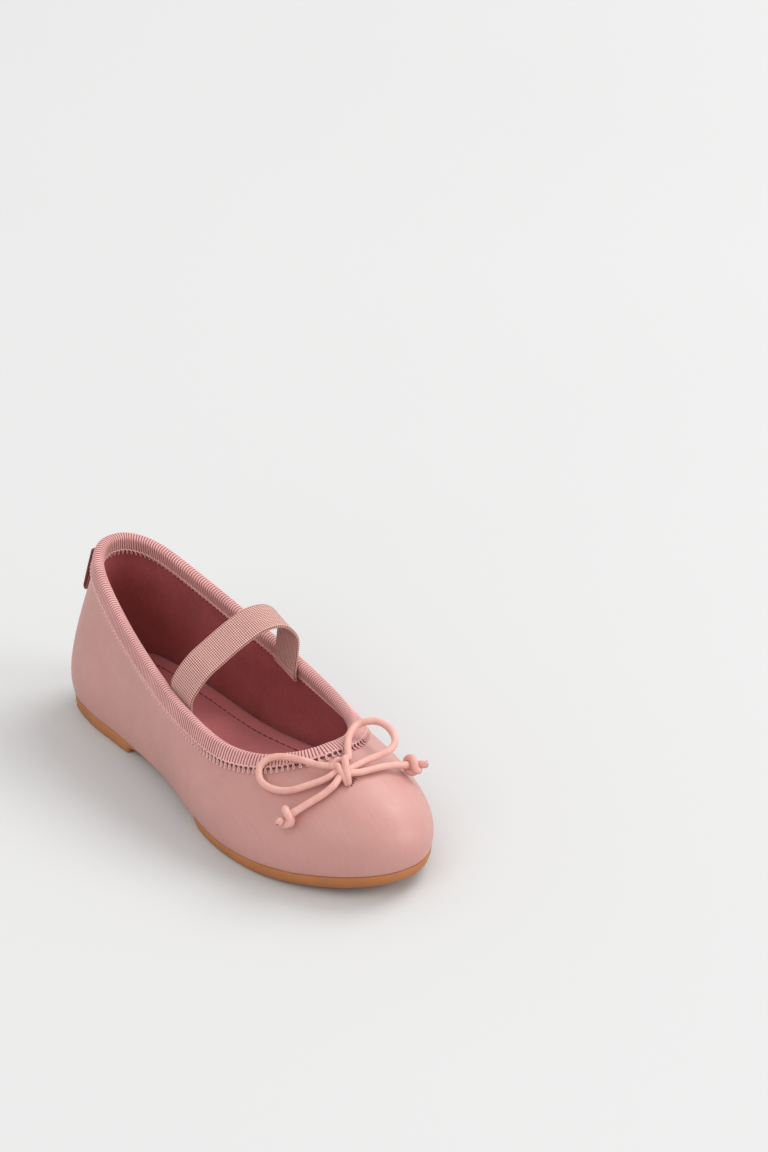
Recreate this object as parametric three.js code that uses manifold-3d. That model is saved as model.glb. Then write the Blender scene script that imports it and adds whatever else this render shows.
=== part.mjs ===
// Child's ballet slipper with an elastic instep strap and a cord bow, right foot, in millimetres.
// +X points to the toe, +Y to the inner (medial) side of the foot and +Z up. The origin is the
// middle of the flat heel tread, on the ground. The shoe is built round a last: a ring of
// stations gives the feather edge, where upper meets sole, and the topline, where the foot goes
// in, and every layer of the wall follows the surface between those two rings.
import * as THREE from "three";
import { mergeVertices } from "three/addons/utils/BufferGeometryUtils.js";
import Module from "manifold-3d";

const wasm = await Module();
wasm.setup();

// Driving dimensions
const LENGTH = 172; // heel back to toe tip along the feather edge
const HEEL_BACK = -24; // x of the heel's back
const GAP = 0.3; // clearance between pieces that touch in the real shoe
const LINING_GAP = 0.4;
const UPPER_THICKNESS = 0.9;
const STIFFENER_THICKNESS = 0.7; // heel counter and toe puff
const LINING_THICKNESS = 0.7;
const BINDING_THICKNESS = 0.6;
const BINDING_HEIGHT = 6; // visible height of the tape on each side of the wall
const LASTING_MARGIN = 8; // how far the upper turns in under the insole board
const BOARD_THICKNESS = 1.4;
const FOAM_THICKNESS = 1.6;
const INSOCK_THICKNESS = 0.7;
const INSOLE_INSET = 3.6; // insole layers inside the feather edge
const WAIST_TUCK = 4; // sole edge tucked in under the waist
const HEEL_LENGTH = 45.5; // heel pad, from the heel's back
const HEEL_STEP = 2.2; // rise of the sole behind the heel breast
const WAIST_END = 84; // where the waist comes down to the forefoot tread
const TREAD_END = 125; // where the toe spring starts
const TOE_SPRING = 6;
const FLEX_LINE = 112; // flex line under the ball of the foot, from the heel's back
const FLEX_HEIGHT = 9.9; // height of the flex axis, just above the insock
const CREASE_HALF_ANGLE = 16; // degrees each side of the flex line that the walls crease over
const STRAP_WIDTH = 12;
const STRAP_TILT = 15; // degrees that the arch of the strap faces the toe
const STRAP_THICKNESS = 1.2;
const STRAP_CENTRE = 78; // from the heel's back
const STRAP_PIVOT_HEIGHT = 35.2;
const STRAP_SEWN_LENGTH = 5.4; // sewn-in end below the pivot
const STRAP_SWING = 33; // degrees that the strap's pointed ends leave free on each side
const TAB_WIDTH = 12;
const TAB_LENGTH = 17.2;
const TAB_LEAN = 21; // degrees that the tab hangs out from upright
const TAB_THICKNESS = 0.8;
const CORD_RADIUS = 1.15;
const TAIL_KNOT_RADIUS = 2.9;

// Stations from heel to toe: place along the length and half-widths of the feather edge, then
// x from the heel's back, half-widths and height of the topline on the same ring position.
const STATIONS = [
  { along: 0.035, lateral: 16.2, medial: 13.8, topX: 8.8, topLateral: 7, topMedial: 7.2, topZ: 57.8 },
  { along: 0.12, lateral: 21.2, medial: 18.4, topX: 17, topLateral: 13, topMedial: 13.6, topZ: 54.6 },
  { along: 0.26, lateral: 22, medial: 19.4, topX: 36, topLateral: 17.6, topMedial: 19.4, topZ: 47.4 },
  { along: 0.42, lateral: 24, medial: 20.8, topX: 60, topLateral: 21.6, topMedial: 23.4, topZ: 40.6 },
  { along: 0.56, lateral: 29, medial: 26.6, topX: 84, topLateral: 24.2, topMedial: 25.4, topZ: 35.6 },
  { along: 0.68, lateral: 31.2, medial: 32, topX: 105, topLateral: 23.4, topMedial: 24.2, topZ: 32.8 },
  { along: 0.8, lateral: 28.6, medial: 30, topX: 119, topLateral: 18.2, topMedial: 19.4, topZ: 33 },
  { along: 0.91, lateral: 20.2, medial: 21.4, topX: 127.4, topLateral: 10, topMedial: 11.6, topZ: 34.8 },
  { along: 0.975, lateral: 10.6, medial: 10.4, topX: 130.6, topLateral: 4, topMedial: 5.6, topZ: 36 },
];
const HEEL_TOPLINE = { x: 6.4, z: 58.6 };
const THROAT = { x: 131.2, z: 36.4 };
const TOE_SHIFT = 2.5; // toe tip towards the medial side
const JUNCTION_HEIGHTS = [
  [0, 5.8],
  [0.25, 5.5],
  [0.5, 4.6],
  [0.66, 4.1],
  [0.85, 5.8],
  [1, 10.2],
];

const RING_STEPS = 44;
const WALL_STEPS = [0, 0.14, 0.3, 0.46, 0.64, 0.86, 1];

const COLOURS = {
  upper: 0xb98379,
  lining: 0x8c4a4b,
  binding: 0xb87f7c,
  insock: 0xa05f60,
  board: 0xb59f84,
  foam: 0xd9d2c4,
  stiffener: 0xc9bfae,
  sole: 0x9a6b45,
  elastic: 0xc9958b,
  cord: 0xdba69c,
};

const lerp = THREE.MathUtils.lerp;
const smoothstep = THREE.MathUtils.smoothstep;
const vec = (x, y, z) => new THREE.Vector3(x, y, z);
const UP = vec(0, 0, 1);

// Height of the line where upper meets sole, at a share of the length.
function junctionHeight(along) {
  const t = THREE.MathUtils.clamp(along, 0, 1);
  let i = 0;
  while (i < JUNCTION_HEIGHTS.length - 2 && t > JUNCTION_HEIGHTS[i + 1][0]) i++;
  const [t0, z0] = JUNCTION_HEIGHTS[i];
  const [t1, z1] = JUNCTION_HEIGHTS[i + 1];
  return lerp(z0, z1, (t - t0) / (t1 - t0));
}

const alongOf = (x) => (x - HEEL_BACK) / LENGTH;

const toeShift = (along) => TOE_SHIFT * Math.max(0, (along - 0.7) / 0.3) ** 2;

function ring(heel, side, toe) {
  const lateral = STATIONS.map((s) => side(s, -1));
  const medial = STATIONS.map((s) => side(s, 1)).reverse();
  return new THREE.CatmullRomCurve3([heel, ...lateral, toe, ...medial], true, "catmullrom", 0.5);
}

function featherPoint(along, halfWidth) {
  const x = HEEL_BACK + LENGTH * along;
  return vec(x, toeShift(along) + halfWidth, junctionHeight(along));
}

const featherRing = ring(
  featherPoint(0.004, 0),
  (s, sign) => featherPoint(s.along, sign * (sign < 0 ? s.lateral : s.medial)),
  featherPoint(0.995, 0),
);
const toplineRing = ring(
  vec(HEEL_BACK + HEEL_TOPLINE.x, 0, HEEL_TOPLINE.z),
  (s, sign) => vec(HEEL_BACK + s.topX, sign * (sign < 0 ? s.topLateral : s.topMedial), s.topZ),
  vec(HEEL_BACK + THROAT.x, 0.8, THROAT.z),
);

const wrap = (u) => u - Math.floor(u);

// Outward normal of a ring in plan; the rings run heel, lateral side, toe, medial side.
function planNormal(curve, u) {
  const step = 0.004;
  const along = curve.getPoint(wrap(u + step)).sub(curve.getPoint(wrap(u - step)));
  return vec(along.y, -along.x, 0).normalize();
}

// The wall's outer surface is a Bezier curve from the feather edge (v = 0) to the topline
// (v = 1) at each ring position u. It is upright at the heel and rolls over the toes.
function wallSurface(u, v) {
  const feather = featherRing.getPoint(wrap(u));
  const top = toplineRing.getPoint(wrap(u));
  const toe = smoothstep(1 - Math.abs(1 - 2 * wrap(u)), 0.5, 1);
  const heel = 1 - smoothstep(1 - Math.abs(1 - 2 * wrap(u)), 0, 0.4);
  const rise = top.z - feather.z;
  const low = feather
    .clone()
    .addScaledVector(planNormal(featherRing, u), 3 + 1.8 * heel + 0.8 * toe)
    .addScaledVector(UP, lerp(0.3, 0.62, toe) * rise);
  const high = top
    .clone()
    .addScaledVector(planNormal(toplineRing, u), lerp(3, 22.5, toe))
    .addScaledVector(UP, -lerp(0.32, 0.16, toe) * rise);
  return new THREE.CubicBezierCurve3(feather, low, high, top).getPoint(v);
}

function wallNormal(u, v) {
  const step = 0.004;
  const vLow = Math.max(0, v - step);
  const vHigh = Math.min(1, v + step);
  const around = wallSurface(u + step, v).sub(wallSurface(u - step, v));
  const upward = wallSurface(u, vHigh).sub(wallSurface(u, vLow));
  return around.cross(upward).normalize();
}

// A point of the wall, moved in from its outer surface by depth.
function wallPoint(u, v, depth) {
  return wallSurface(u, v).addScaledVector(wallNormal(u, v), -depth);
}

// A closed solid from a row of sections. Each section is a strip with an outer and an inner
// line of points; the row closes on itself or gets two end caps.
function stripSolid(sections, closed) {
  const positions = [];
  const quad = (a, b, c, d) => positions.push(...[a, b, c, a, c, d].flatMap((p) => p.toArray()));
  const loops = sections.map((s) => [...s.outer, ...[...s.inner].reverse()]);
  const size = loops[0].length;
  const pairs = closed ? sections.length : sections.length - 1;
  for (let i = 0; i < pairs; i++) {
    const here = loops[i];
    const next = loops[(i + 1) % loops.length];
    for (let k = 0; k < size; k++) {
      const m = (k + 1) % size;
      quad(here[k], next[k], next[m], here[m]);
    }
  }
  if (!closed) {
    const first = sections[0];
    const last = sections[sections.length - 1];
    for (let k = 0; k < first.outer.length - 1; k++) {
      quad(first.outer[k], first.outer[k + 1], first.inner[k + 1], first.inner[k]);
      quad(last.outer[k + 1], last.outer[k], last.inner[k], last.inner[k + 1]);
    }
  }
  const geometry = new THREE.BufferGeometry();
  geometry.setAttribute("position", new THREE.Float32BufferAttribute(positions, 3));
  return geometry;
}

function toManifold(geometry) {
  const plain = geometry.index ? geometry.toNonIndexed() : geometry.clone();
  plain.deleteAttribute("normal");
  plain.deleteAttribute("uv");
  const merged = mergeVertices(plain, 1e-4);
  const mesh = new wasm.Mesh({
    numProp: 3,
    vertProperties: merged.attributes.position.array,
    triVerts: new Uint32Array(merged.index.array),
  });
  return new wasm.Manifold(mesh);
}

function toGeometry(solid) {
  const mesh = solid.getMesh();
  const geometry = new THREE.BufferGeometry();
  geometry.setAttribute("position", new THREE.BufferAttribute(mesh.vertProperties, 3));
  geometry.setIndex(new THREE.BufferAttribute(mesh.triVerts, 1));
  return geometry;
}

// A prism across the shoe, from an outline of [x, z] points.
function sidePrism(outline, yFrom, yTo) {
  const shape = new THREE.Shape(outline.map(([x, z]) => new THREE.Vector2(x, z)));
  const prism = new THREE.ExtrudeGeometry(shape, { depth: yTo - yFrom, bevelEnabled: false });
  prism.rotateX(Math.PI / 2);
  prism.translate(0, yTo, 0);
  return toManifold(prism);
}

const slipper = new THREE.Group();

function addPiece(name, geometry, colour, roughness) {
  const material = new THREE.MeshStandardMaterial({ color: COLOURS[colour], roughness, metalness: 0 });
  const mesh = new THREE.Mesh(geometry, material);
  mesh.name = name;
  slipper.add(mesh);
  return mesh;
}

// Flexing zones. Below the flex axis the shoe parts on one plane across it; above the axis the
// side walls have a V-shaped crease zone between the rear and the forefoot.
const FAR = 200;
const flexX = HEEL_BACK + FLEX_LINE;
const creaseTan = Math.tan(THREE.MathUtils.degToRad(CREASE_HALF_ANGLE));
const TOP = 90;
const creaseReach = creaseTan * (TOP - FLEX_HEIGHT);
const rearZone = sidePrism(
  [
    [-FAR, -20],
    [flexX - GAP / 2, -20],
    [flexX - GAP / 2, FLEX_HEIGHT],
    [flexX - GAP / 2 - creaseReach, TOP],
    [-FAR, TOP],
  ],
  -60,
  60,
);
const forefootZone = sidePrism(
  [
    [FAR, -20],
    [FAR, TOP],
    [flexX + GAP / 2 + creaseReach, TOP],
    [flexX + GAP / 2, FLEX_HEIGHT],
    [flexX + GAP / 2, -20],
  ],
  -60,
  60,
);
const creaseTip = FLEX_HEIGHT + (1.5 * GAP) / creaseTan;
const creaseTop = creaseReach - GAP;
const creaseOutline = [
  [flexX, creaseTip],
  [flexX + creaseTop, TOP],
  [flexX - creaseTop, TOP],
];
const lateralCrease = sidePrism(creaseOutline, -60, 0);
const medialCrease = sidePrism(creaseOutline, 0, 60);

// One wall layer that runs all round the shoe, parted at the flex line.
function addFlexingWall(names, geometry, colour, roughness) {
  const solid = toManifold(geometry);
  const zones = [rearZone, forefootZone, lateralCrease, medialCrease];
  zones.forEach((zone, i) => {
    addPiece(names[i], toGeometry(solid.intersect(zone)), colour, roughness);
  });
}

// Depths of the wall's layers. The room for the stiffeners closes up towards the topline.
const liningDepth = (v) => {
  const room = STIFFENER_THICKNESS + GAP;
  return UPPER_THICKNESS + LINING_GAP + room * (1 - smoothstep(v, 0.64, 0.86));
};
const stiffenerDepth = UPPER_THICKNESS + GAP;

function ringSections(sectionAt) {
  return Array.from({ length: RING_STEPS }, (_, i) => sectionAt(i / RING_STEPS));
}

// A point of the feather edge moved in under the shoe, lifted above the junction height.
function inwardPoint(u, inset, lift) {
  const point = featherRing.getPoint(wrap(u)).addScaledVector(planNormal(featherRing, u), -inset);
  return point.setZ(junctionHeight(alongOf(point.x)) + lift);
}

function addUpper() {
  const sections = ringSections((u) => {
    const margin = [LASTING_MARGIN, LASTING_MARGIN / 2];
    const walls = WALL_STEPS.slice(1);
    return {
      outer: [
        ...margin.map((inset) => inwardPoint(u, inset, 0)),
        inwardPoint(u, 0, 0),
        ...walls.map((v) => wallPoint(u, v, 0)),
      ],
      inner: [
        ...margin.map((inset) => inwardPoint(u, inset, UPPER_THICKNESS)),
        inwardPoint(u, UPPER_THICKNESS, UPPER_THICKNESS),
        ...walls.map((v) => wallPoint(u, v, UPPER_THICKNESS)),
      ],
    };
  });
  const names = ["upper_quarters", "upper_vamp", "upper_crease_lateral", "upper_crease_medial"];
  addFlexingWall(names, stripSolid(sections, true), "upper", 0.45);
}

function addLining() {
  const lowest = 0.06;
  const steps = [lowest, ...WALL_STEPS.slice(1)];
  const sections = ringSections((u) => ({
    outer: steps.map((v) => wallPoint(u, v, liningDepth(v))),
    inner: steps.map((v) => wallPoint(u, v, liningDepth(v) + LINING_THICKNESS)),
  }));
  const names = ["lining_quarters", "lining_vamp", "lining_crease_lateral", "lining_crease_medial"];
  addFlexingWall(names, stripSolid(sections, true), "lining", 0.9);
}

// Folded tape over the top of the wall: outer leg, fold and inner leg.
function addBinding() {
  const near = -GAP;
  const farAt = (v) => liningDepth(v) + LINING_THICKNESS + GAP;
  const far = farAt(1);
  const sections = ringSections((u) => {
    const length = wallSurface(u, 1).distanceTo(wallSurface(u, 0.9)) * 10;
    const upward = wallSurface(u, 1).sub(wallSurface(u, 0.98)).normalize();
    const vAt = (height) => 1 - height / length;
    const middle = (near + far) / 2;
    const fold = (depth, rise) => wallPoint(u, 1, depth).addScaledVector(upward, rise);
    const innerLeg = (height, extra) => wallPoint(u, vAt(height), farAt(vAt(height)) + extra);
    const out = BINDING_THICKNESS;
    return {
      outer: [
        wallPoint(u, vAt(BINDING_HEIGHT), near - out),
        wallPoint(u, vAt(BINDING_HEIGHT / 2), near - out),
        fold(near - out, 0),
        fold(middle - 1, 1.2 * out + GAP),
        fold(middle + 1, 1.2 * out + GAP),
        fold(far + out, 0),
        innerLeg(BINDING_HEIGHT / 2, out),
        innerLeg(BINDING_HEIGHT, out),
      ],
      inner: [
        wallPoint(u, vAt(BINDING_HEIGHT), near),
        wallPoint(u, vAt(BINDING_HEIGHT / 2), near),
        fold(near, 0),
        fold(near, GAP),
        fold(far, GAP),
        fold(far, 0),
        innerLeg(BINDING_HEIGHT / 2, 0),
        innerLeg(BINDING_HEIGHT, 0),
      ],
    };
  });
  const names = ["binding_quarters", "binding_throat", "binding_crease_lateral", "binding_crease_medial"];
  addFlexingWall(names, stripSolid(sections, true), "binding", 0.8);
}

// A stiffener between upper and lining, over part of the ring, on each side of its middle.
function addStiffener(name, uMiddle, ringSteps, heights) {
  const sections = Array.from({ length: 2 * ringSteps + 1 }, (_, i) => {
    const u = uMiddle + (i - ringSteps) / RING_STEPS;
    return {
      outer: heights.map((v) => wallPoint(u, v, stiffenerDepth)),
      inner: heights.map((v) => wallPoint(u, v, stiffenerDepth + STIFFENER_THICKNESS)),
    };
  });
  addPiece(name, stripSolid(sections, false), "stiffener", 0.8);
}

// A plan-shaped column inside the feather edge, from the ground up, to be cut by side profiles.
function planColumn(insetAt) {
  const steps = 72;
  const outline = Array.from({ length: steps }, (_, i) => {
    const u = i / steps;
    const along = alongOf(featherRing.getPoint(u).x);
    const point = inwardPoint(u, insetAt(along), 0);
    return new THREE.Vector2(point.x, point.y);
  });
  const column = new THREE.ExtrudeGeometry(new THREE.Shape(outline), { depth: 60, bevelEnabled: false });
  column.translate(0, 0, -10);
  return toManifold(column);
}

const LAYER_STEPS = 24;

// A line of [x, z] points at a height above the junction line.
function layerLine(alongFrom, alongTo, lift) {
  return Array.from({ length: LAYER_STEPS + 1 }, (_, i) => {
    const along = lerp(alongFrom, alongTo, i / LAYER_STEPS);
    return [HEEL_BACK + LENGTH * along, junctionHeight(along) + lift];
  });
}

function layerPrism(alongFrom, alongTo, bottomLift, topLift) {
  const top = layerLine(alongFrom, alongTo, topLift).reverse();
  return sidePrism([...layerLine(alongFrom, alongTo, bottomLift), ...top], -60, 60);
}

const flexAlong = FLEX_LINE / LENGTH;
const flexGapAlong = GAP / 2 / LENGTH;

// An insole layer in two pieces that part at the flex line.
function addInsoleLayer(names, column, bottomLift, thickness, colour, roughness) {
  const ranges = [
    [-0.05, flexAlong - flexGapAlong],
    [flexAlong + flexGapAlong, 1.05],
  ];
  ranges.forEach(([from, to], i) => {
    const slab = layerPrism(from, to, bottomLift, bottomLift + thickness);
    addPiece(names[i], toGeometry(column.intersect(slab)), colour, roughness);
  });
}

const boardLift = UPPER_THICKNESS + GAP;
const foamLift = boardLift + BOARD_THICKNESS + GAP;
const insockLift = foamLift + FOAM_THICKNESS + GAP;

function addInsoles() {
  const column = planColumn(() => INSOLE_INSET);
  const add = (name, bottomLift, thickness, colour, roughness) => {
    addInsoleLayer([`${name}_rear`, `${name}_forefoot`], column, bottomLift, thickness, colour, roughness);
  };
  add("insole_board", boardLift, BOARD_THICKNESS, "board", 0.9);
  add("insock_foam", foamLift, FOAM_THICKNESS, "foam", 1);
  add("insock", insockLift, INSOCK_THICKNESS, "insock", 0.8);
}

// The hollow inside the lasting margin holds the shank at the waist and a filler at the ball.
function addShankAndFiller() {
  const inner = planColumn(() => LASTING_MARGIN + 0.6);
  const fillerZone = layerPrism(flexAlong + flexGapAlong, 0.97, 0, UPPER_THICKNESS);
  addPiece("forefoot_filler", toGeometry(inner.intersect(fillerZone)), "foam", 1);
  const shankHalfWidth = 6;
  const shank = sidePrism(
    [...layerLine(0.1, 0.52, 0), ...layerLine(0.1, 0.52, UPPER_THICKNESS).reverse()],
    -shankHalfWidth,
    shankHalfWidth,
  );
  addPiece("shank_board", toGeometry(shank), "board", 0.6);
}

// Ground side of the sole: heel pad, step, waist, forefoot tread and toe spring.
function soleBottom(fromX, toX) {
  const heelEnd = [
    [HEEL_LENGTH, 0],
    [HEEL_LENGTH + 0.6, HEEL_STEP],
  ];
  const waist = [0.25, 0.5, 0.75, 1].map((t) => {
    const x = lerp(HEEL_LENGTH + 0.6, WAIST_END, t);
    return [x, HEEL_STEP * (1 - smoothstep(t, 0, 1))];
  });
  const spring = [0.001, 0.25, 0.5, 0.75, 1.02].map((t) => {
    return [lerp(TREAD_END, LENGTH, t), TOE_SPRING * t * t];
  });
  const line = [[-5, 0], ...heelEnd, ...waist, ...spring];
  const inside = line.filter(([x]) => x > fromX && x < toX);
  const heightAtToe = TOE_SPRING * 1.02 ** 2;
  return [[fromX, 0], ...inside, [toX, toX > LENGTH ? heightAtToe : 0]];
}

function addOutsole() {
  const column = planColumn((along) => {
    const waist = smoothstep(along, 0.24, 0.36) * (1 - smoothstep(along, 0.46, 0.6));
    return WAIST_TUCK * waist;
  });
  const parts = [
    ["outsole_rear", -5, FLEX_LINE - GAP / 2],
    ["outsole_forefoot", FLEX_LINE + GAP / 2, LENGTH + 5],
  ];
  for (const [name, from, to] of parts) {
    const bottom = soleBottom(from, to).map(([x, z]) => [x + HEEL_BACK, z]);
    const top = layerLine(from / LENGTH, to / LENGTH, -GAP).reverse();
    const profile = sidePrism([...bottom, ...top], -60, 60);
    addPiece(name, toGeometry(column.intersect(profile)), "sole", 0.6);
  }
}

// Centre line of the strap across the shoe, as [y, z], from the lateral to the medial pivot.
const strapLine = new THREE.CatmullRomCurve3(
  [
    [-19.6, STRAP_PIVOT_HEIGHT],
    [-19.2, 39.6],
    [-13.6, 46.6],
    [-7.8, 50],
    [1.4, 54.6],
    [8.8, 56.9],
    [16.4, 55.6],
    [21.6, 49],
    [21.5, 41.8],
    [20.4, STRAP_PIVOT_HEIGHT],
  ].map(([y, z]) => vec(0, y, z)),
);

// A band across the shoe: thin across the given line, its width along X, each section turned by
// its tilt towards the toe.
function bandSolid(points, widths, tilts, thickness) {
  const x = HEEL_BACK + STRAP_CENTRE;
  const sections = points.map((point, i) => {
    const before = points[Math.max(0, i - 1)];
    const after = points[Math.min(points.length - 1, i + 1)];
    const along = after.clone().sub(before).normalize();
    const width = vec(Math.cos(tilts[i]), 0, -Math.sin(tilts[i]));
    const across = width.clone().cross(along).setLength(thickness / 2);
    const corner = (sign, side) => {
      const middle = vec(x, point.y, point.z).addScaledVector(width, (sign * widths[i]) / 2);
      return middle.addScaledVector(across, side);
    };
    return { outer: [corner(1, 1), corner(-1, 1)], inner: [corner(1, -1), corner(-1, -1)] };
  });
  return stripSolid(sections, false);
}

function addStrap() {
  const steps = 26;
  const swing = Math.tan(THREE.MathUtils.degToRad(STRAP_SWING));
  const heights = [GAP, 1.2, 2.2, 3.4];
  const ends = heights.map((h) => ({ rise: h, width: Math.min(STRAP_WIDTH, 0.6 + (2 * (h - GAP)) / swing) }));
  const arch = Array.from({ length: steps + 1 }, (_, i) => strapLine.getPointAt(lerp(0.05, 0.95, i / steps)));
  const foot = (u, rise) => strapLine.getPointAt(u).setZ(STRAP_PIVOT_HEIGHT + rise);
  const lateral = ends.map((end) => foot(0, end.rise));
  const medial = ends.map((end) => foot(1, end.rise)).reverse();
  const points = [...lateral, ...arch, ...medial];
  const taper = ends.map((end) => end.width);
  const widths = [...taper, ...arch.map(() => STRAP_WIDTH), ...[...taper].reverse()];
  const tilt = THREE.MathUtils.degToRad(STRAP_TILT);
  const tilts = points.map((point) => tilt * smoothstep(point.z - STRAP_PIVOT_HEIGHT, 3, 12));
  addPiece("elastic_strap", bandSolid(points, widths, tilts, STRAP_THICKNESS), "elastic", 0.9);
}

// The sewn-in end of the strap, flat on the lining below the pivot.
function addStrapEnd(name, y, lean) {
  const steps = 3;
  const points = Array.from({ length: steps + 1 }, (_, i) => {
    const drop = lerp(GAP, STRAP_SEWN_LENGTH, i / steps);
    return vec(0, y + lean * drop, STRAP_PIVOT_HEIGHT - drop);
  });
  const widths = points.map(() => STRAP_WIDTH);
  const tilts = points.map(() => 0);
  addPiece(name, bandSolid(points, widths, tilts, STRAP_THICKNESS), "elastic", 0.9);
}

// Folded tape loop that hangs down behind the heel.
function addPullTab() {
  const bindingFoot = 1 - BINDING_HEIGHT / wallSurface(0, 1).distanceTo(wallSurface(0, 0.9)) / 10;
  const root = wallPoint(0, bindingFoot - 0.012, -0.9);
  const lean = THREE.MathUtils.degToRad(TAB_LEAN);
  const hang = vec(-Math.sin(lean), 0, -Math.cos(lean));
  const out = vec(hang.z, 0, -hang.x);
  const inside = 0.4; // half of the gap between the two layers
  const thick = TAB_THICKNESS;
  const at = (down, side) => {
    return root.clone().addScaledVector(hang, down).addScaledVector(out, side + inside + thick);
  };
  const outerLine = [at(0, -inside - thick), at(TAB_LENGTH - 1, -inside - thick)];
  const innerLine = [at(0, -inside), at(TAB_LENGTH - 1.4, -inside)];
  outerLine.push(at(TAB_LENGTH, -0.5), at(TAB_LENGTH, 0.5));
  innerLine.push(at(TAB_LENGTH - 0.9, -0.15), at(TAB_LENGTH - 0.9, 0.15));
  outerLine.push(at(TAB_LENGTH - 1, inside + thick), at(0, inside + thick));
  innerLine.push(at(TAB_LENGTH - 1.4, inside), at(0, inside));
  const sections = [TAB_WIDTH / 2, -TAB_WIDTH / 2].map((y) => ({
    outer: outerLine.map((p) => p.clone().setY(y)),
    inner: innerLine.map((p) => p.clone().setY(y)),
  }));
  addPiece("pull_tab", stripSolid(sections, false), "binding", 0.8);
}

// Bow, from the heel's back. Loops and tails start at the two sides of the centre knot.
const KNOT = vec(HEEL_BACK + 145.2, -2.4, 35.9);
const KNOT_RADII = vec(3.6, 2.3, 2.1);

function cordSolid(route, steps) {
  const path = new THREE.CatmullRomCurve3(route.map(([x, y, z]) => vec(HEEL_BACK + x, y, z)));
  const circle = new THREE.Shape();
  circle.absarc(0, 0, CORD_RADIUS, 0, 2 * Math.PI);
  return new THREE.ExtrudeGeometry(circle, {
    steps,
    bevelEnabled: false,
    curveSegments: 4,
    extrudePath: path,
  });
}

const LOOP_LATERAL = [
  [141.9, -5.9, 36],
  [138.2, -8.6, 35.9],
  [134.6, -10.6, 36.2],
  [130.4, -13, 36.2],
  [126.5, -15.7, 35.7],
  [124.3, -18.5, 34.4],
  [124.4, -21.2, 32.4],
  [127.4, -22.9, 30.2],
  [132.4, -22.4, 29.4],
  [137.8, -19.5, 30.1],
  [141.9, -13.9, 32.3],
  [144.2, -9, 34.1],
  [144.4, -6.1, 35.1],
];
const LOOP_MEDIAL = [
  [141.9, 1, 36.8],
  [138.7, 2.9, 37.5],
  [133.2, 7.4, 38.6],
  [130.7, 11.9, 39.6],
  [131.5, 15.6, 40.2],
  [133.7, 18.4, 40.2],
  [137.1, 19.7, 39.4],
  [141.2, 19.2, 38.2],
  [143.9, 17.4, 37.4],
  [145.4, 14.4, 36.7],
  [145.2, 11, 36.1],
  [144.7, 6.8, 35.6],
  [145, 1.2, 35.3],
];
const TAIL_LATERAL = [
  [146.8, -6.2, 34.5],
  [147.8, -9.2, 33.1],
  [147.5, -12.9, 31.2],
  [146.4, -16.4, 29.4],
  [145.4, -19.6, 27.8],
  [144.6, -21.6, 26.6],
];
const TAIL_MEDIAL = [
  [147.8, 1, 34.4],
  [147.9, 5.6, 33.9],
  [147.6, 10, 33.2],
  [147.5, 14.6, 32.1],
  [147.6, 18.6, 30.8],
];

function ellipsoid(centre, radii, segments) {
  const shape = new THREE.SphereGeometry(1, segments, segments / 2);
  shape.scale(radii.x, radii.y, radii.z);
  shape.translate(centre.x, centre.y, centre.z);
  return shape;
}

// Overhand knot near the end of a tail, with the cut end of the cord standing out of it.
function addTailKnot(name, route) {
  const [before, last] = route.slice(-2).map(([x, y, z]) => vec(HEEL_BACK + x, y, z));
  const along = last.clone().sub(before).normalize();
  const radius = TAIL_KNOT_RADIUS;
  const centre = last.clone().addScaledVector(along, radius + GAP);
  const knot = toManifold(ellipsoid(centre, vec(radius, radius, radius), 12));
  const end = new THREE.CylinderGeometry(CORD_RADIUS, CORD_RADIUS, 3.4, 10);
  end.applyQuaternion(new THREE.Quaternion().setFromUnitVectors(vec(0, 1, 0), along));
  end.translate(...centre.clone().addScaledVector(along, radius).toArray());
  addPiece(name, toGeometry(knot.add(toManifold(end))), "cord", 0.8);
}

function addBow() {
  addPiece("bow_knot", ellipsoid(KNOT, KNOT_RADII, 14), "cord", 0.7);
  addPiece("bow_loop_lateral", cordSolid(LOOP_LATERAL, 26), "cord", 0.7);
  addPiece("bow_loop_medial", cordSolid(LOOP_MEDIAL, 26), "cord", 0.7);
  addPiece("bow_tail_lateral", cordSolid(TAIL_LATERAL, 10), "cord", 0.7);
  addPiece("bow_tail_medial", cordSolid(TAIL_MEDIAL, 8), "cord", 0.7);
  addTailKnot("tail_knot_lateral", TAIL_LATERAL);
  addTailKnot("tail_knot_medial", TAIL_MEDIAL);
}

addUpper();
addLining();
addBinding();
addStiffener("heel_counter", 0, 9, WALL_STEPS.slice(1, 5));
addStiffener("toe_puff", 0.5, 6, WALL_STEPS.slice(1, 4));
addOutsole();
addShankAndFiller();
addInsoles();
addStrap();
addStrapEnd("strap_end_lateral", -19.6, -0.08);
addStrapEnd("strap_end_medial", 20.4, 0.08);
addPullTab();
addBow();

export default slipper;
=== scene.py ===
"""Looks of a child's ballet slipper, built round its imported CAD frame.

Lengths in this script are in millimetres until a mesh is made. X points to the toe, Y to the
inner (medial) side of the foot and Z up. The wall of the shoe is one surface between two rings,
the feather edge and the topline. u runs round the rings from the heel over the lateral side to
the toe and back over the medial side, and v runs up the wall from 0 to 1.
"""

import math
import random

import bpy
import numpy as np
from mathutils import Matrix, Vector, noise


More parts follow.
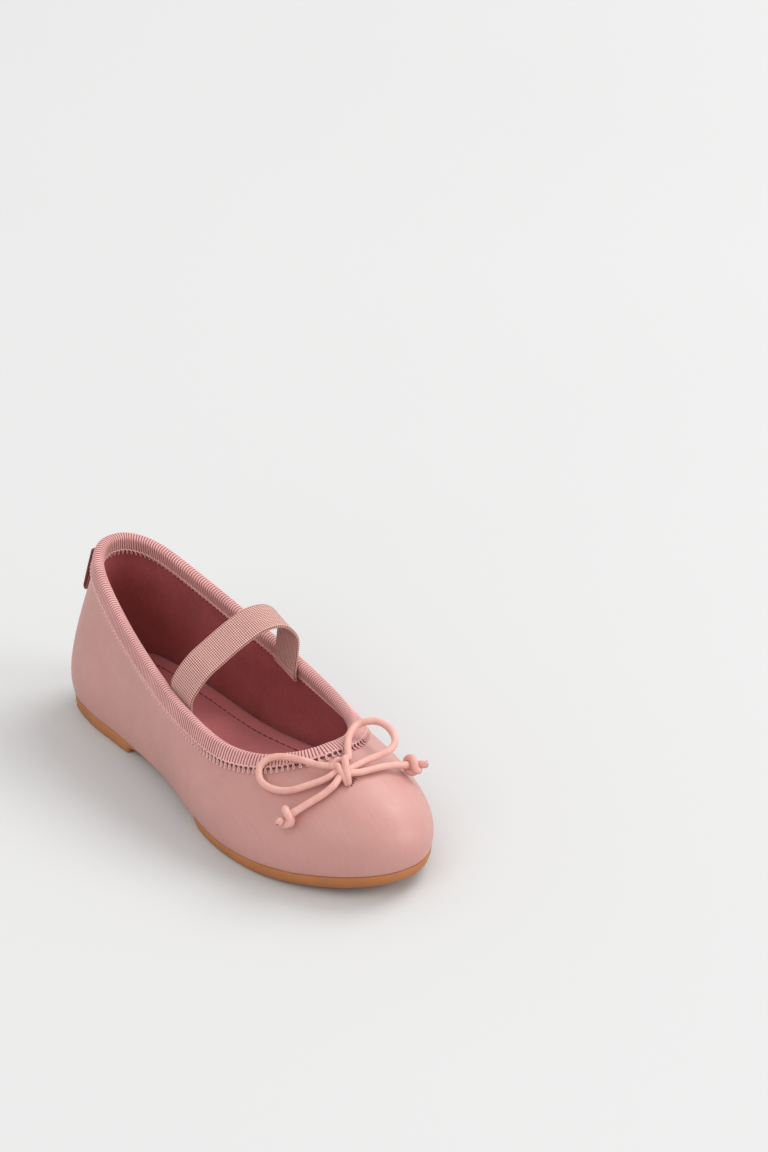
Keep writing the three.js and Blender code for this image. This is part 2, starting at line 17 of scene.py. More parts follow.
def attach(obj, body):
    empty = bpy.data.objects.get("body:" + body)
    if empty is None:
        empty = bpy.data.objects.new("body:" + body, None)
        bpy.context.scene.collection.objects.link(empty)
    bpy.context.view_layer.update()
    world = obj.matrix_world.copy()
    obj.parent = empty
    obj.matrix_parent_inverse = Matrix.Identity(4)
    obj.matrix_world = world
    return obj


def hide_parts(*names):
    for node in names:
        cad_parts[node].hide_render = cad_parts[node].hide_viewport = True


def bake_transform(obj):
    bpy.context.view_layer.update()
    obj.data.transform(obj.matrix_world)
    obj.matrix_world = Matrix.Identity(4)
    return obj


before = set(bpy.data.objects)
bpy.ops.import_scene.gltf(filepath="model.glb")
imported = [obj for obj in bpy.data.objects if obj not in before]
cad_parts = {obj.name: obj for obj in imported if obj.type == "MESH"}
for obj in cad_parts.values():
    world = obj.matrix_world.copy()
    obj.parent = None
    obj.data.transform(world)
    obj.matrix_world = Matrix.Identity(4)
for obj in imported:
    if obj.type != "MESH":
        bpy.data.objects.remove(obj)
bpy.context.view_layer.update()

MM = 0.001

# ---------------------------------------------------------------------------------------------
# Driving dimensions, as in the CAD part apart from the strap's line, lean and sewn length
# ---------------------------------------------------------------------------------------------
LENGTH = 172.0
HEEL_BACK = -24.0
UPPER_THICKNESS = 0.9
LINING_GAP = 0.4
STIFFENER_ROOM = 1.0
LINING_THICKNESS = 0.7
GAP = 0.3
BINDING_HEIGHT = 6.0
BINDING_THICKNESS = 0.6
LASTING_MARGIN = 8.0
INSOLE_INSET = 3.6
WAIST_TUCK = 4.0
HEEL_LENGTH = 45.5
HEEL_STEP = 2.2
WAIST_END = 84.0
TREAD_END = 125.0
TOE_SPRING = 6.0
TOE_SHIFT = 2.5
BOARD_LIFT = 1.2
FOAM_LIFT = 2.9
INSOCK_LIFT = 4.8
INSOCK_TOP = 5.5
FLEX_X = HEEL_BACK + 112
FLEX_REACH = 15.0  # how far the bend spreads each side of the flex line
STRAP_X = HEEL_BACK + 78
STRAP_WIDTH = 12.0
STRAP_TILT = math.radians(15)  # how far the strap faces the toe
STRAP_THICKNESS = 1.2
STRAP_LEAN = 0.06  # how far the arch leans to the toe for its height
STRAP_PIVOT_HEIGHT = 35.2
STRAP_SEWN_LENGTH = 2.4
TAB_WIDTH = 12.0
TAB_LENGTH = 17.2
TAB_LEAN = math.radians(21)
TAB_THICKNESS = 0.8
CORD_RADIUS = 1.15

# Place along the length; half-widths of the feather edge, lateral and medial; then x from the
# heel's back, half-widths and height of the topline at the same ring position.
STATIONS = [
    (0.035, 16.2, 13.8, 8.8, 7.0, 7.2, 57.8),
    (0.12, 21.2, 18.4, 17.0, 13.0, 13.6, 54.6),
    (0.26, 22.0, 19.4, 36.0, 17.6, 19.4, 47.4),
    (0.42, 24.0, 20.8, 60.0, 21.6, 23.4, 40.6),
    (0.56, 29.0, 26.6, 84.0, 24.2, 25.4, 35.6),
    (0.68, 31.2, 32.0, 105.0, 23.4, 24.2, 32.8),
    (0.8, 28.6, 30.0, 119.0, 18.2, 19.4, 33.0),
    (0.91, 20.2, 21.4, 127.4, 10.0, 11.6, 34.8),
    (0.975, 10.6, 10.4, 130.6, 4.0, 5.6, 36.0),
]
HEEL_TOPLINE = (6.4, 0.0, 58.6)
THROAT = (131.2, 0.8, 36.4)
JUNCTION_ALONG = [0, 0.25, 0.5, 0.66, 0.85, 1]
JUNCTION_HEIGHT = [5.8, 5.5, 4.6, 4.1, 5.8, 10.2]

# Strap centre line across the shoe as [y, z], and the cord routes from the heel's back.
STRAP_LINE = [
    [-20, 35.2], [-19.4, 39.2], [-13.6, 45.8], [-7.8, 49.2], [1.4, 53.8],
    [8.8, 56.2], [16.4, 55], [21.6, 48.8], [21.7, 41.8], [21, 35.2],
]
STRAP_ENDS = ((-20.0, -0.08), (21.0, 0.08))  # place across the shoe, outward lean of the lining
LOOP_LATERAL = [
    [141.9, -5.9, 36], [138.2, -8.6, 35.9], [134.6, -10.6, 36.2], [130.4, -13, 36.2],
    [126.5, -15.7, 35.7], [124.3, -18.5, 34.4], [124.4, -21.2, 32.4], [127.4, -22.9, 30.2],
    [132.4, -22.4, 29.4], [137.8, -19.5, 30.1], [141.9, -13.9, 32.3], [144.2, -9, 34.1],
    [144.4, -6.1, 35.1],
]
LOOP_MEDIAL = [
    [141.9, 1, 36.8], [138.7, 2.9, 37.5], [133.2, 7.4, 38.6], [130.7, 11.9, 39.6],
    [131.5, 15.6, 40.2], [133.7, 18.4, 40.2], [137.1, 19.7, 39.4], [141.2, 19.2, 38.2],
    [143.9, 17.4, 37.4], [145.4, 14.4, 36.7], [145.2, 11, 36.1], [144.7, 6.8, 35.6],
    [145, 1.2, 35.3],
]
TAIL_LATERAL = [
    [146.8, -6.2, 34.5], [147.8, -9.2, 33.1], [147.5, -12.9, 31.2], [146.4, -16.4, 29.4],
    [145.4, -19.6, 27.8], [144.6, -21.6, 26.6],
]
TAIL_MEDIAL = [
    [147.8, 1, 34.4], [147.9, 5.6, 33.9], [147.6, 10, 33.2], [147.5, 14.6, 32.1],
    [147.6, 18.6, 30.8],
]
TAIL_KNOT_REACH = 3.2  # from the end of the tail to the middle of its knot
KNOT = (145.2, -2.4, 35.9)

# Sewing
RIB_PITCH = 1.0
RIB_DEPTH = 0.26
TAPE_LEG = 4.25  # from the topline to the edge of the ribbed tape
PICOT_PITCH = 1.7
PICOT_RADIUS = 0.26
PICOT_MIDDLE = 4.9  # from the topline to the middle of the picot loops
PICOT_SWING = 1.08
KNIT_PITCH = 0.74  # of the strap's ribs and rows
INSOCK_SEAM_INSET = 6.0
INSOCK_STITCH_PITCH = 2.7


# ---------------------------------------------------------------------------------------------
# Camera
# ---------------------------------------------------------------------------------------------
def aim(thing, place, target):
    thing.location = Vector(place)
    direction = Vector(target) - Vector(place)
    thing.rotation_euler = direction.to_track_quat("-Z", "Y").to_euler()


CAMERA_PLACE = (0.9687, -0.6057, 0.6573)  # metres
CAMERA_TARGET = (-0.0301, 0.1226, 0)
CAMERA_LENS = 120.5
SENSOR_WIDTH = 36


def add_camera():
    data = bpy.data.cameras.new("camera")
    data.lens = CAMERA_LENS
    data.sensor_width = SENSOR_WIDTH
    camera = bpy.data.objects.new("camera", data)
    bpy.context.scene.collection.objects.link(camera)
    aim(camera, CAMERA_PLACE, CAMERA_TARGET)
    bpy.context.scene.camera = camera


# ---------------------------------------------------------------------------------------------
# Curves and surfaces
# ---------------------------------------------------------------------------------------------
def smoothstep(x, low, high):
    t = np.clip((np.asarray(x, float) - low) / (high - low), 0, 1)
    return t * t * (3 - 2 * t)


def lerp(a, b, t):
    return a + (b - a) * t


def unit(vectors):
    return vectors / np.maximum(np.linalg.norm(vectors, axis=-1, keepdims=True), 1e-9)


def cubic(p1, p2, slope1, slope2, t):
    a = 2 * (p1 - p2) + slope1 + slope2
    b = 3 * (p2 - p1) - 2 * slope1 - slope2
    return ((a * t + b) * t + slope1) * t + p1


def closed_curve(points, u):
    """Closed uniform Catmull-Rom curve at u, once round from 0 to 1."""
    points = np.asarray(points, float)
    count = len(points)
    at = np.mod(u, 1.0) * count
    i = np.floor(at).astype(int) % count
    t = (at - np.floor(at))[..., None]
    before, here, after, beyond = (points[(i + k) % count] for k in (-1, 0, 1, 2))
    return cubic(here, after, (after - before) / 2, (beyond - here) / 2, t)


def open_curve(points, count):
    """count points, evenly spaced, on the centripetal Catmull-Rom curve through points."""
    points = np.asarray(points, float)
    ends = [2 * points[0] - points[1]], [2 * points[-1] - points[-2]]
    padded = np.concatenate([ends[0], points, ends[1]])
    fine = []
    for p0, p1, p2, p3 in zip(padded, padded[1:], padded[2:], padded[3:]):
        d0, d1, d2 = (math.sqrt(np.linalg.norm(b - a)) for a, b in ((p0, p1), (p1, p2), (p2, p3)))
        slope1 = ((p1 - p0) / d0 - (p2 - p0) / (d0 + d1) + (p2 - p1) / d1) * d1
        slope2 = ((p2 - p1) / d1 - (p3 - p1) / (d1 + d2) + (p3 - p2) / d2) * d1
        t = np.linspace(0, 1, 24, endpoint=False)[:, None]
        fine.append(cubic(p1, p2, slope1, slope2, t))
    fine.append(points[-1:])
    return evenly(np.concatenate(fine), count)


def lengths_along(line):
    steps = np.linalg.norm(np.diff(line, axis=0), axis=1)
    return np.concatenate([[0], np.cumsum(steps)])


def evenly(line, count):
    run = lengths_along(line)
    at = np.linspace(0, run[-1], count)
    return np.stack([np.interp(at, run, line[:, k]) for k in range(line.shape[1])], axis=1)


def junction_height(along):
    return np.interp(along, JUNCTION_ALONG, JUNCTION_HEIGHT)


def along_of(x):
    return (x - HEEL_BACK) / LENGTH


def feather_point(along, half_width):
    shift = TOE_SHIFT * max(0, (along - 0.7) / 0.3) ** 2
    return [HEEL_BACK + LENGTH * along, shift + half_width, float(junction_height(along))]


def ring(heel, side, toe):
    lateral = [side(s, -1) for s in STATIONS]
    medial = [side(s, 1) for s in reversed(STATIONS)]
    return np.array([heel, *lateral, toe, *medial], float)


def feather_side(station, sign):
    return feather_point(station[0], sign * (station[1] if sign < 0 else station[2]))


def topline_side(station, sign):
    half_width = station[4] if sign < 0 else station[5]
    return [HEEL_BACK + station[3], sign * half_width, station[6]]


FEATHER = ring(feather_point(0.004, 0), feather_side, feather_point(0.995, 0))
TOPLINE = ring(
    [HEEL_BACK + HEEL_TOPLINE[0], *HEEL_TOPLINE[1:]],
    topline_side,
    [HEEL_BACK + THROAT[0], *THROAT[1:]],
)


def plan_normal(curve, u):
    along = closed_curve(curve, u + 0.004) - closed_curve(curve, u - 0.004)
    flat = np.stack([along[..., 1], -along[..., 0], np.zeros_like(along[..., 0])], -1)
    return unit(flat)


def wall_surface(u, v):
    u, v = np.broadcast_arrays(np.asarray(u, float), np.asarray(v, float))
    feather = closed_curve(FEATHER, u)
    top = closed_curve(TOPLINE, u)
    from_heel = 1 - np.abs(1 - 2 * np.mod(u, 1.0))
    toe = smoothstep(from_heel, 0.5, 1)[..., None]
    heel = 1 - smoothstep(from_heel, 0, 0.4)[..., None]
    up = np.array([0, 0, 1.0])
    rise = (top - feather)[..., 2:]
    low = feather + plan_normal(FEATHER, u) * (3 + 1.8 * heel + 0.8 * toe)
    low = low + up * lerp(0.3, 0.62, toe) * rise
    high = top + plan_normal(TOPLINE, u) * lerp(3, 22.5, toe)
    high = high - up * lerp(0.32, 0.16, toe) * rise
    t = v[..., None]
    s = 1 - t
    return s**3 * feather + 3 * s**2 * t * low + 3 * s * t**2 * high + t**3 * top


def wall_normal(u, v):
    step = 0.004
    around = wall_surface(u + step, v) - wall_surface(u - step, v)
    upward = wall_surface(u, np.minimum(1, v + step)) - wall_surface(u, np.maximum(0, v - step))
    return unit(np.cross(around, upward))


def wall_point(u, v, depth):
    u, v, depth = np.broadcast_arrays(*(np.asarray(x, float) for x in (u, v, depth)))
    return wall_surface(u, v) - wall_normal(u, v) * depth[..., None]


def lining_depth(v):
    return UPPER_THICKNESS + LINING_GAP + STIFFENER_ROOM * (1 - smoothstep(v, 0.64, 0.86))


def inward_point(u, inset, lift):
    """A point of the feather edge moved in under the shoe, lifted above the junction."""
    inset = np.asarray(inset, float)
    point = closed_curve(FEATHER, u) - plan_normal(FEATHER, u) * inset[..., None]
    point[..., 2] = junction_height(along_of(point[..., 0])) + lift
    return point


def even_positions(count):
    """Ring positions from heel to heel, evenly spaced along the lateral feather edge and
    mirrored on the medial side, so that position k and position count - k face each other."""
    fine = np.linspace(0, 0.5, 600)
    run = lengths_along(closed_curve(FEATHER, fine))
    half = np.interp(np.linspace(0, run[-1], count // 2 + 1), run, fine)
    return np.concatenate([half, 1 - half[-2:0:-1]])


class TapeLine:
    """The topline as a path for sewing: run is the length along it, height the distance down
    the wall from it."""

    def __init__(self):
        self.fine_u = np.linspace(0, 1, 4001)
        self.fine_run = lengths_along(closed_curve(TOPLINE, self.fine_u))
        self.total = float(self.fine_run[-1])

    def u_at(self, run):
        return np.interp(np.mod(run, self.total), self.fine_run, self.fine_u)

    def place(self, run, height):
        u = self.u_at(run)
        length = np.linalg.norm(wall_surface(u, 1.0) - wall_surface(u, 0.9), axis=-1) * 10
        return np.broadcast_arrays(u, 1 - height / length)

    def outside(self, run, height, proud):
        """A point proud millimetres above the upper's face."""
        u, v = self.place(run, height)
        return wall_point(u, v, -np.asarray(proud, float))

    def inside(self, run, height, proud):
        """A point proud millimetres above the lining's face, inside the shoe."""
        u, v = self.place(run, height)
        return wall_point(u, v, lining_depth(v) + LINING_THICKNESS + proud)


TAPE = TapeLine()


# ---------------------------------------------------------------------------------------------
# Meshes
# ---------------------------------------------------------------------------------------------
def make_mesh(name, points, faces, uvs=None, smooth=True):
    """An object from points in millimetres; uvs has one row for each corner of each face."""
    mesh = bpy.data.meshes.new(name)
    mesh.from_pydata((np.asarray(points, float) * MM).tolist(), [], [list(f) for f in faces])
    if uvs is not None:
        layer = mesh.uv_layers.new(name="weave")
        layer.data.foreach_set("uv", np.asarray(uvs, np.float32).ravel())
    mesh.polygons.foreach_set("use_smooth", [smooth] * len(mesh.polygons))
    mesh.update()
    piece = bpy.data.objects.new(name, mesh)
    bpy.context.scene.collection.objects.link(piece)
    return piece


def grid_faces(rows, columns, rows_closed, columns_closed):
    i = np.arange(rows if rows_closed else rows - 1)
    j = np.arange(columns if columns_closed else columns - 1)
    i, j = (x.ravel() for x in np.meshgrid(i, j, indexing="ij"))
    corners = [(i, j), (i + 1, j), (i + 1, j + 1), (i, j + 1)]
    faces = np.stack([(a % rows) * columns + b % columns for a, b in corners], -1)
    return faces, corners


def grid_object(name, points, uv):
    """A surface closed both ways, from a grid of points. uv has one row and column more."""
    rows, columns = points.shape[:2]
    faces, corners = grid_faces(rows, columns, True, True)
    uvs = np.stack([uv[a, b] for a, b in corners], -2).reshape(-1, 2)
    return make_mesh(name, points.reshape(-1, 3), faces, uvs)


def section_uv(points):
    """Lengths round the shoe and round each section, in millimetres, with the closing row."""
    looped = np.concatenate([points, points[:1]], axis=0)
    looped = np.concatenate([looped, looped[:, :1]], axis=1)
    run = lengths_along(looped[:, 0])
    across = lengths_along(looped[0])
    return np.stack(np.meshgrid(run, across, indexing="ij"), -1)


def plate(name, positions, rings, top_shape, bottom_shape, columns):
    """A closed plate inside the feather edge. rings are loops of points from the inner edge of
    its top face, over its side, to the inner edge of its bottom face. The two faces are filled
    with rows of points across the shoe, whose heights top_shape and bottom_shape set."""
    count = len(positions)
    points = [np.asarray(r, float) for r in rings]
    faces, _ = grid_faces(len(points), count, False, True)
    faces = [list(f[::-1]) for f in faces]
    flat = [p for r in points for p in r]
    half = count // 2
    for ring_index, shape, flip in ((0, top_shape, False), (len(points) - 1, bottom_shape, True)):
        loop = points[ring_index]
        base = ring_index * count
        rows = []
        for k in range(1, half):
            share = np.linspace(0, 1, columns + 1)[1:-1, None]
            inner = lerp(loop[k], loop[count - k], share)
            inner = shape(inner, loop[k], loop[count - k], share)
            start = len(flat)
            flat.extend(inner)
            rows.append([base + k, *range(start, start + len(inner)), base + count - k])
        new = []
        for a, b in zip(rows, rows[1:]):
            new += [[a[c], b[c], b[c + 1], a[c + 1]] for c in range(columns)]
        new += [[base, rows[0][c], rows[0][c + 1]] for c in range(columns)]
        new += [[rows[-1][c], base + half, rows[-1][c + 1]] for c in range(columns)]
        faces += [f[::-1] for f in new] if flip else new
    flat = np.array(flat)
    uvs = np.concatenate([flat[f][:, :2] for f in faces])
    return make_mesh(name, flat, faces, uvs)


def frames_along(line):
    """Tangents and two sideways directions along a line, turned as little as possible."""
    tangents = unit(np.gradient(line, axis=0))
    side = np.cross(tangents[0], [0, 0, 1.0])
    if np.linalg.norm(side) < 0.1:
        side = np.cross(tangents[0], [0, 1.0, 0])
    sides = [unit(side)]
    for t in tangents[1:]:
        s = sides[-1] - t * np.dot(sides[-1], t)
        sides.append(unit(s))
    sides = np.array(sides)
    return tangents, sides, np.cross(tangents, sides)


def tube_parts(line, radius, sides=10, capped=True, closed=False):
    """Points, faces and corner uvs of a round tube; radius is a number or one for each point."""
    line = np.asarray(line, float)
    if closed:
        wrapped = np.concatenate([line[-2:], line, line[:2]])
        tangents, side, up = (x[2:-2] for x in frames_along(wrapped))
    else:
        tangents, side, up = frames_along(line)
    radii = np.broadcast_to(np.asarray(radius, float), (len(line),)).copy()
    if capped and not closed:
        cap = [(0.0, 0.35), (0.35, 0.75), (0.75, 0.95)]
        head = [(line[0] - tangents[0] * radii[0] * (1 - a), radii[0] * b) for a, b in cap]
        foot = [(line[-1] + tangents[-1] * radii[-1] * (1 - a), radii[-1] * b) for a, b in cap]
        line = np.concatenate([[p for p, _ in head], line, [p for p, _ in foot[::-1]]])
        radii = np.concatenate([[r for _, r in head], radii, [r for _, r in foot[::-1]]])
        side = np.concatenate([[side[0]] * 3, side, [side[-1]] * 3])
        up = np.concatenate([[up[0]] * 3, up, [up[-1]] * 3])
    angle = np.linspace(0, 2 * math.pi, sides, endpoint=False)
    circle = side[:, None] * np.cos(angle)[None, :, None] + up[:, None] * np.sin(angle)[None, :, None]
    points = line[:, None] + circle * radii[:, None, None]
    faces, corners = grid_faces(len(line), sides, closed, True)
    run = lengths_along(np.concatenate([line, line[:1]]))
    uvs = [np.stack([run[a], b / sides * 2 * math.pi * radii[0]], -1) for a, b in corners]
    uvs = np.stack(uvs, -2).reshape(-1, 2)
    faces = [list(f) for f in faces]
    if not closed:
        ends = [list(range(sides))[::-1], [(len(line) - 1) * sides + k for k in range(sides)]]
        faces += ends
        uvs = np.concatenate([uvs, np.zeros((2 * sides, 2))])
    return points.reshape(-1, 3), faces, uvs


def joined(name, parts):
    """One object from several closed shells."""
    points, faces, uvs = [], [], []
    start = 0
    for part_points, part_faces, part_uvs in parts:
        points.append(part_points)
        faces += [[i + start for i in f] for f in part_faces]
        uvs.append(part_uvs)
        start += len(part_points)
    return make_mesh(name, np.concatenate(points), faces, np.concatenate(uvs))


def finish_piece(piece, look, nodes=(), body=None, blend=None):
    """Material, slot, replaced CAD nodes and body of a piece."""
    piece.data.materials.append(look)
    if nodes:
        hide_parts(*nodes)
    if body:
        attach(piece, body)
    if blend:
        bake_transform(piece)
    return piece


TOE_BEND = (
    "rear",
    "forefoot",
    ((FLEX_X - FLEX_REACH) * MM, 0, 0),
    ((FLEX_X + FLEX_REACH) * MM, 0, 0),
)


def flexing(name):
    return [f"{name}_{zone}" for zone in ("crease_lateral", "crease_medial")]


# ---------------------------------------------------------------------------------------------
# Materials
# ---------------------------------------------------------------------------------------------
def srgb(red, green, blue):
    def linear(value):
        value = value / 255
        return value / 12.92 if value <= 0.04045 else ((value + 0.055) / 1.055) ** 2.4

    return (linear(red), linear(green), linear(blue), 1.0)


LEATHER_DARK = srgb(191, 139, 131)
LEATHER_LIGHT = srgb(198, 146, 138)
LINING_DARK = srgb(150, 74, 74)
LINING_LIGHT = srgb(168, 88, 87)
INSOCK_DARK = srgb(182, 97, 99)
INSOCK_LIGHT = srgb(208, 120, 120)
GUM_DARK = srgb(166, 102, 56)
GUM_LIGHT = srgb(184, 118, 70)
# Knit elastic: the dark colour is painted shade in the gaps between stitches.
ELASTIC_DARK = srgb(122, 64, 58)
ELASTIC_LIGHT = srgb(236, 186, 174)
CORD_DARK = srgb(216, 158, 147)
CORD_LIGHT = srgb(229, 175, 163)


class Look:
    """A procedural Principled material."""

    def __init__(self, name, **sockets):
        self.material = bpy.data.materials.new(name)
        self.material.use_nodes = True
        self.tree = self.material.node_tree
        self.shader = self.tree.nodes["Principled BSDF"]
        for socket, value in sockets.items():
            self.shader.inputs[socket.replace("_", " ")].default_value = value

    def node(self, kind, inputs=(), **settings):
        made = self.tree.nodes.new(kind)
        for key, value in settings.items():
            setattr(made, key, value)
        for key, value in dict(inputs).items():
            if isinstance(value, bpy.types.NodeSocket):
                self.tree.links.new(value, made.inputs[key])
            else:
                made.inputs[key].default_value = value
        return made

    def place(self):
        return self.node("ShaderNodeTexCoord").outputs["Object"]

    def stretched(self, scale, turn=(0, 0, 0)):
        inputs = {"Vector": self.place(), "Scale": scale, "Rotation": turn}
        return self.node("ShaderNodeMapping", inputs).outputs["Vector"]

    def weave(self):
        uv = self.node("ShaderNodeUVMap", uv_map="weave").outputs["UV"]
        return self.node("ShaderNodeSeparateXYZ", {"Vector": uv}).outputs

    def noise(self, scale, detail=3.0, vector=None, roughness=0.5):
        inputs = {"Vector": vector or self.place(), "Scale": scale, "Detail": detail}
        inputs["Roughness"] = roughness
        return self.node("ShaderNodeTexNoise", inputs).outputs["Fac"]

    def cells(self, scale):
        inputs = {"Vector": self.place(), "Scale": scale}
        return self.node("ShaderNodeTexVoronoi", inputs).outputs["Distance"]

    def math(self, operation, a, b=0.0):
        return self.node("ShaderNodeMath", {0: a, 1: b}, operation=operation).outputs[0]

    def ridges(self, run, pitch):
        """1 on the crest of each rib, 0 between two ribs."""
        angle = self.math("MULTIPLY", run, math.pi / pitch)
        return self.math("ABSOLUTE", self.math("SINE", angle))

    def ramp(self, factor, *stops):
        made = self.node("ShaderNodeValToRGB", {"Fac": factor})
        elements = made.color_ramp.elements
        while len(elements) < len(stops):
            elements.new(0.5)
        for element, (position, colour) in zip(elements, stops):
            element.position = position
            element.color = colour
        return made.outputs["Color"]

    def spread(self, factor, low, high, to_low=0.0, to_high=1.0):
        inputs = {"Value": factor, 1: low, 2: high, 3: to_low, 4: to_high}
        return self.node("ShaderNodeMapRange", inputs).outputs["Result"]

    def mix(self, factor, a, b, mode="MIX"):
        inputs = {0: factor, 6: a, 7: b}
        made = self.node("ShaderNodeMix", inputs, data_type="RGBA", blend_type=mode)
        return made.outputs[2]

    def bump(self, height, distance, strength=1.0, before=None):
        inputs = {"Height": height, "Distance": distance * MM, "Strength": strength}
        if before is not None:
            inputs["Normal"] = before
        return self.node("ShaderNodeBump", inputs).outputs["Normal"]

    def done(self, colour, roughness=None, normal=None):
        self.tree.links.new(colour, self.shader.inputs["Base Color"])
        if roughness is not None:
            self.tree.links.new(roughness, self.shader.inputs["Roughness"])
        if normal is not None:
            self.tree.links.new(normal, self.shader.inputs["Normal"])
        return self.material


def leather_look():
    """Smooth coated imitation leather with a fine grain and faint lengthwise striations."""
    look = Look("smooth_leather", IOR=1.46, Specular_IOR_Level=0.5)
    clouds = look.noise(38, 3)
    colour = look.ramp(clouds, (0.3, LEATHER_DARK), (0.72, LEATHER_LIGHT))
    grain = look.cells(2300)
    streaks = look.noise(1500, 2, look.stretched((0.09, 1, 0.09)))
    pores = look.spread(look.noise(1900, 4), 0.35, 0.65)
    tone = look.ramp(streaks, (0.3, (0.975, 0.975, 0.975, 1)), (0.7, (1.02, 1.02, 1.02, 1)))
    colour = look.mix(1.0, colour, tone, "MULTIPLY")
    roughness = look.spread(look.noise(420, 4), 0.3, 0.7, 0.38, 0.5)
    normal = look.bump(look.noise(60, 2), 0.2, 0.2)
    normal = look.bump(streaks, 0.02, 0.35, normal)
    normal = look.bump(grain, 0.045, 0.5, normal)
    normal = look.bump(pores, 0.02, 0.5, normal)
    return look.done(colour, roughness, normal)


def grosgrain_look(name, valley, crest, pitch=RIB_PITCH):
    """Ribbed tape: fine cross ribs of many threads, with painted shade between the ribs and lighter crests.
    """
    look = Look(name, Specular_IOR_Level=0.3, Sheen_Weight=0.25, Sheen_Roughness=0.45)
    run, across = look.weave()[0], look.weave()[1]
    rib = look.ridges(run, pitch)
    fibres = look.noise(2600, 3)
    # lit is painted light and shade: lighter on each rib's crest, painted shade in the valleys between ribs.
    lit = look.math("MULTIPLY", rib, look.spread(fibres, 0.3, 0.7, 0.82, 1.08))
    colour = look.ramp(lit, (0.12, valley), (0.75, crest))
    clouds = look.ramp(look.noise(90, 2), (0.3, (0.9, 0.88, 0.88, 1)), (0.7, (1.05, 1.05, 1.05, 1)))
    colour = look.mix(1.0, colour, clouds, "MULTIPLY")
    twist = look.ridges(look.math("ADD", across, look.math("MULTIPLY", run, 0.4)), 0.32)
    normal = look.bump(twist, 0.05, 0.5)
    normal = look.bump(fibres, 0.06, 0.5, normal)
    roughness = look.spread(fibres, 0.3, 0.7, 0.7, 0.9)
    return look.done(colour, roughness, normal)


def thread_look(name, dark, light):
    """Twisted sewing thread, with painted shade in the grooves of its twist."""
    look = Look(name, Specular_IOR_Level=0.35, Sheen_Weight=0.2)
    run, across = look.weave()[0], look.weave()[1]
    twist = look.ridges(look.math("ADD", run, look.math("MULTIPLY", across, 0.9)), 0.3)
    # The dark colour falls in the grooves of the twist: painted shade.
    colour = look.ramp(twist, (0.1, dark), (0.8, light))
    roughness = look.spread(look.noise(900, 2), 0.3, 0.7, 0.5, 0.7)
    return look.done(colour, roughness, look.bump(twist, 0.05, 0.7))


def suede_look():
    """Brushed lining fabric with a short nap."""
    look = Look("brushed_lining", Specular_IOR_Level=0.2, Sheen_Weight=0.45, Sheen_Roughness=0.5)
    look.shader.inputs["Sheen Tint"].default_value = srgb(214, 150, 148)
    clouds = look.noise(70, 4)
    nap = look.noise(1500, 5, None, 0.7)
    colour = look.ramp(clouds, (0.3, LINING_DARK), (0.7, LINING_LIGHT))
    speckle = look.ramp(nap, (0.3, (0.8, 0.8, 0.8, 1)), (0.7, (1.12, 1.12, 1.12, 1)))
    colour = look.mix(1.0, colour, speckle, "MULTIPLY")
    normal = look.bump(clouds, 0.4, 0.3)
    normal = look.bump(nap, 0.16, 0.7, normal)
    return look.done(colour, look.spread(nap, 0.3, 0.7, 0.85, 1.0), normal)


def insock_look():
    """Soft microfibre cover of the insole."""
    look = Look("microfibre_insock", Specular_IOR_Level=0.25, Sheen_Weight=0.3)
    clouds = look.noise(45, 4)
    nap = look.noise(1900, 5, None, 0.65)
    pores = look.cells(1500)
    colour = look.ramp(clouds, (0.28, INSOCK_DARK), (0.72, INSOCK_LIGHT))
    speckle = look.ramp(nap, (0.3, (0.86, 0.86, 0.86, 1)), (0.7, (1.09, 1.09, 1.09, 1)))
    colour = look.mix(1.0, colour, speckle, "MULTIPLY")
    normal = look.bump(nap, 0.08, 0.6)
    normal = look.bump(pores, 0.05, 0.4, normal)
    return look.done(colour, look.spread(nap, 0.3, 0.7, 0.62, 0.85), normal)


def gum_look():
    """Moulded gum rubber, paler along its convex edges."""
    look = Look("gum_rubber", Specular_IOR_Level=0.4)
    clouds = look.noise(55, 4)
    colour = look.ramp(clouds, (0.3, GUM_DARK), (0.72, GUM_LIGHT))
    # Paler along convex edges, found from the mesh's pointiness.
    edge = look.node("ShaderNodeNewGeometry").outputs["Pointiness"]
    paler_edge = look.spread(edge, 0.52, 0.62, 0.0, 0.45)
    colour = look.mix(paler_edge, colour, srgb(182, 134, 92))
    scuffs = look.noise(600, 5, look.stretched((1, 1, 4)), 0.7)
    normal = look.bump(scuffs, 0.06, 0.5)
    normal = look.bump(look.noise(120, 2), 0.2, 0.2, normal)
    return look.done(colour, look.spread(scuffs, 0.3, 0.7, 0.42, 0.66), normal)


def elastic_look():
    """Knitted elastic: rows of small stitches over ribs that run along the strap, with painted shade in the
    gaps between the stitches.
    """
    look = Look("knit_elastic", Specular_IOR_Level=0.3, Sheen_Weight=0.25, Sheen_Roughness=0.45)
    run, across = look.weave()[0], look.weave()[1]
    ribs = look.ridges(across, KNIT_PITCH)
    rows = look.ridges(run, KNIT_PITCH)
    knit = look.math("MULTIPLY", look.math("POWER", ribs, 0.6), look.math("POWER", rows, 0.6))
    fibres = look.noise(2800, 3)
    # lit is painted light and shade: light on the stitches, painted shade in the gaps between them.
    lit = look.math("MULTIPLY", knit, look.spread(fibres, 0.3, 0.7, 0.85, 1.1))
    colour = look.ramp(lit, (0.25, ELASTIC_DARK), (0.78, ELASTIC_LIGHT))
    normal = look.bump(knit, 0.22, 0.9)
    normal = look.bump(fibres, 0.05, 0.4, normal)
    return look.done(colour, look.spread(fibres, 0.3, 0.7, 0.7, 0.9), normal)


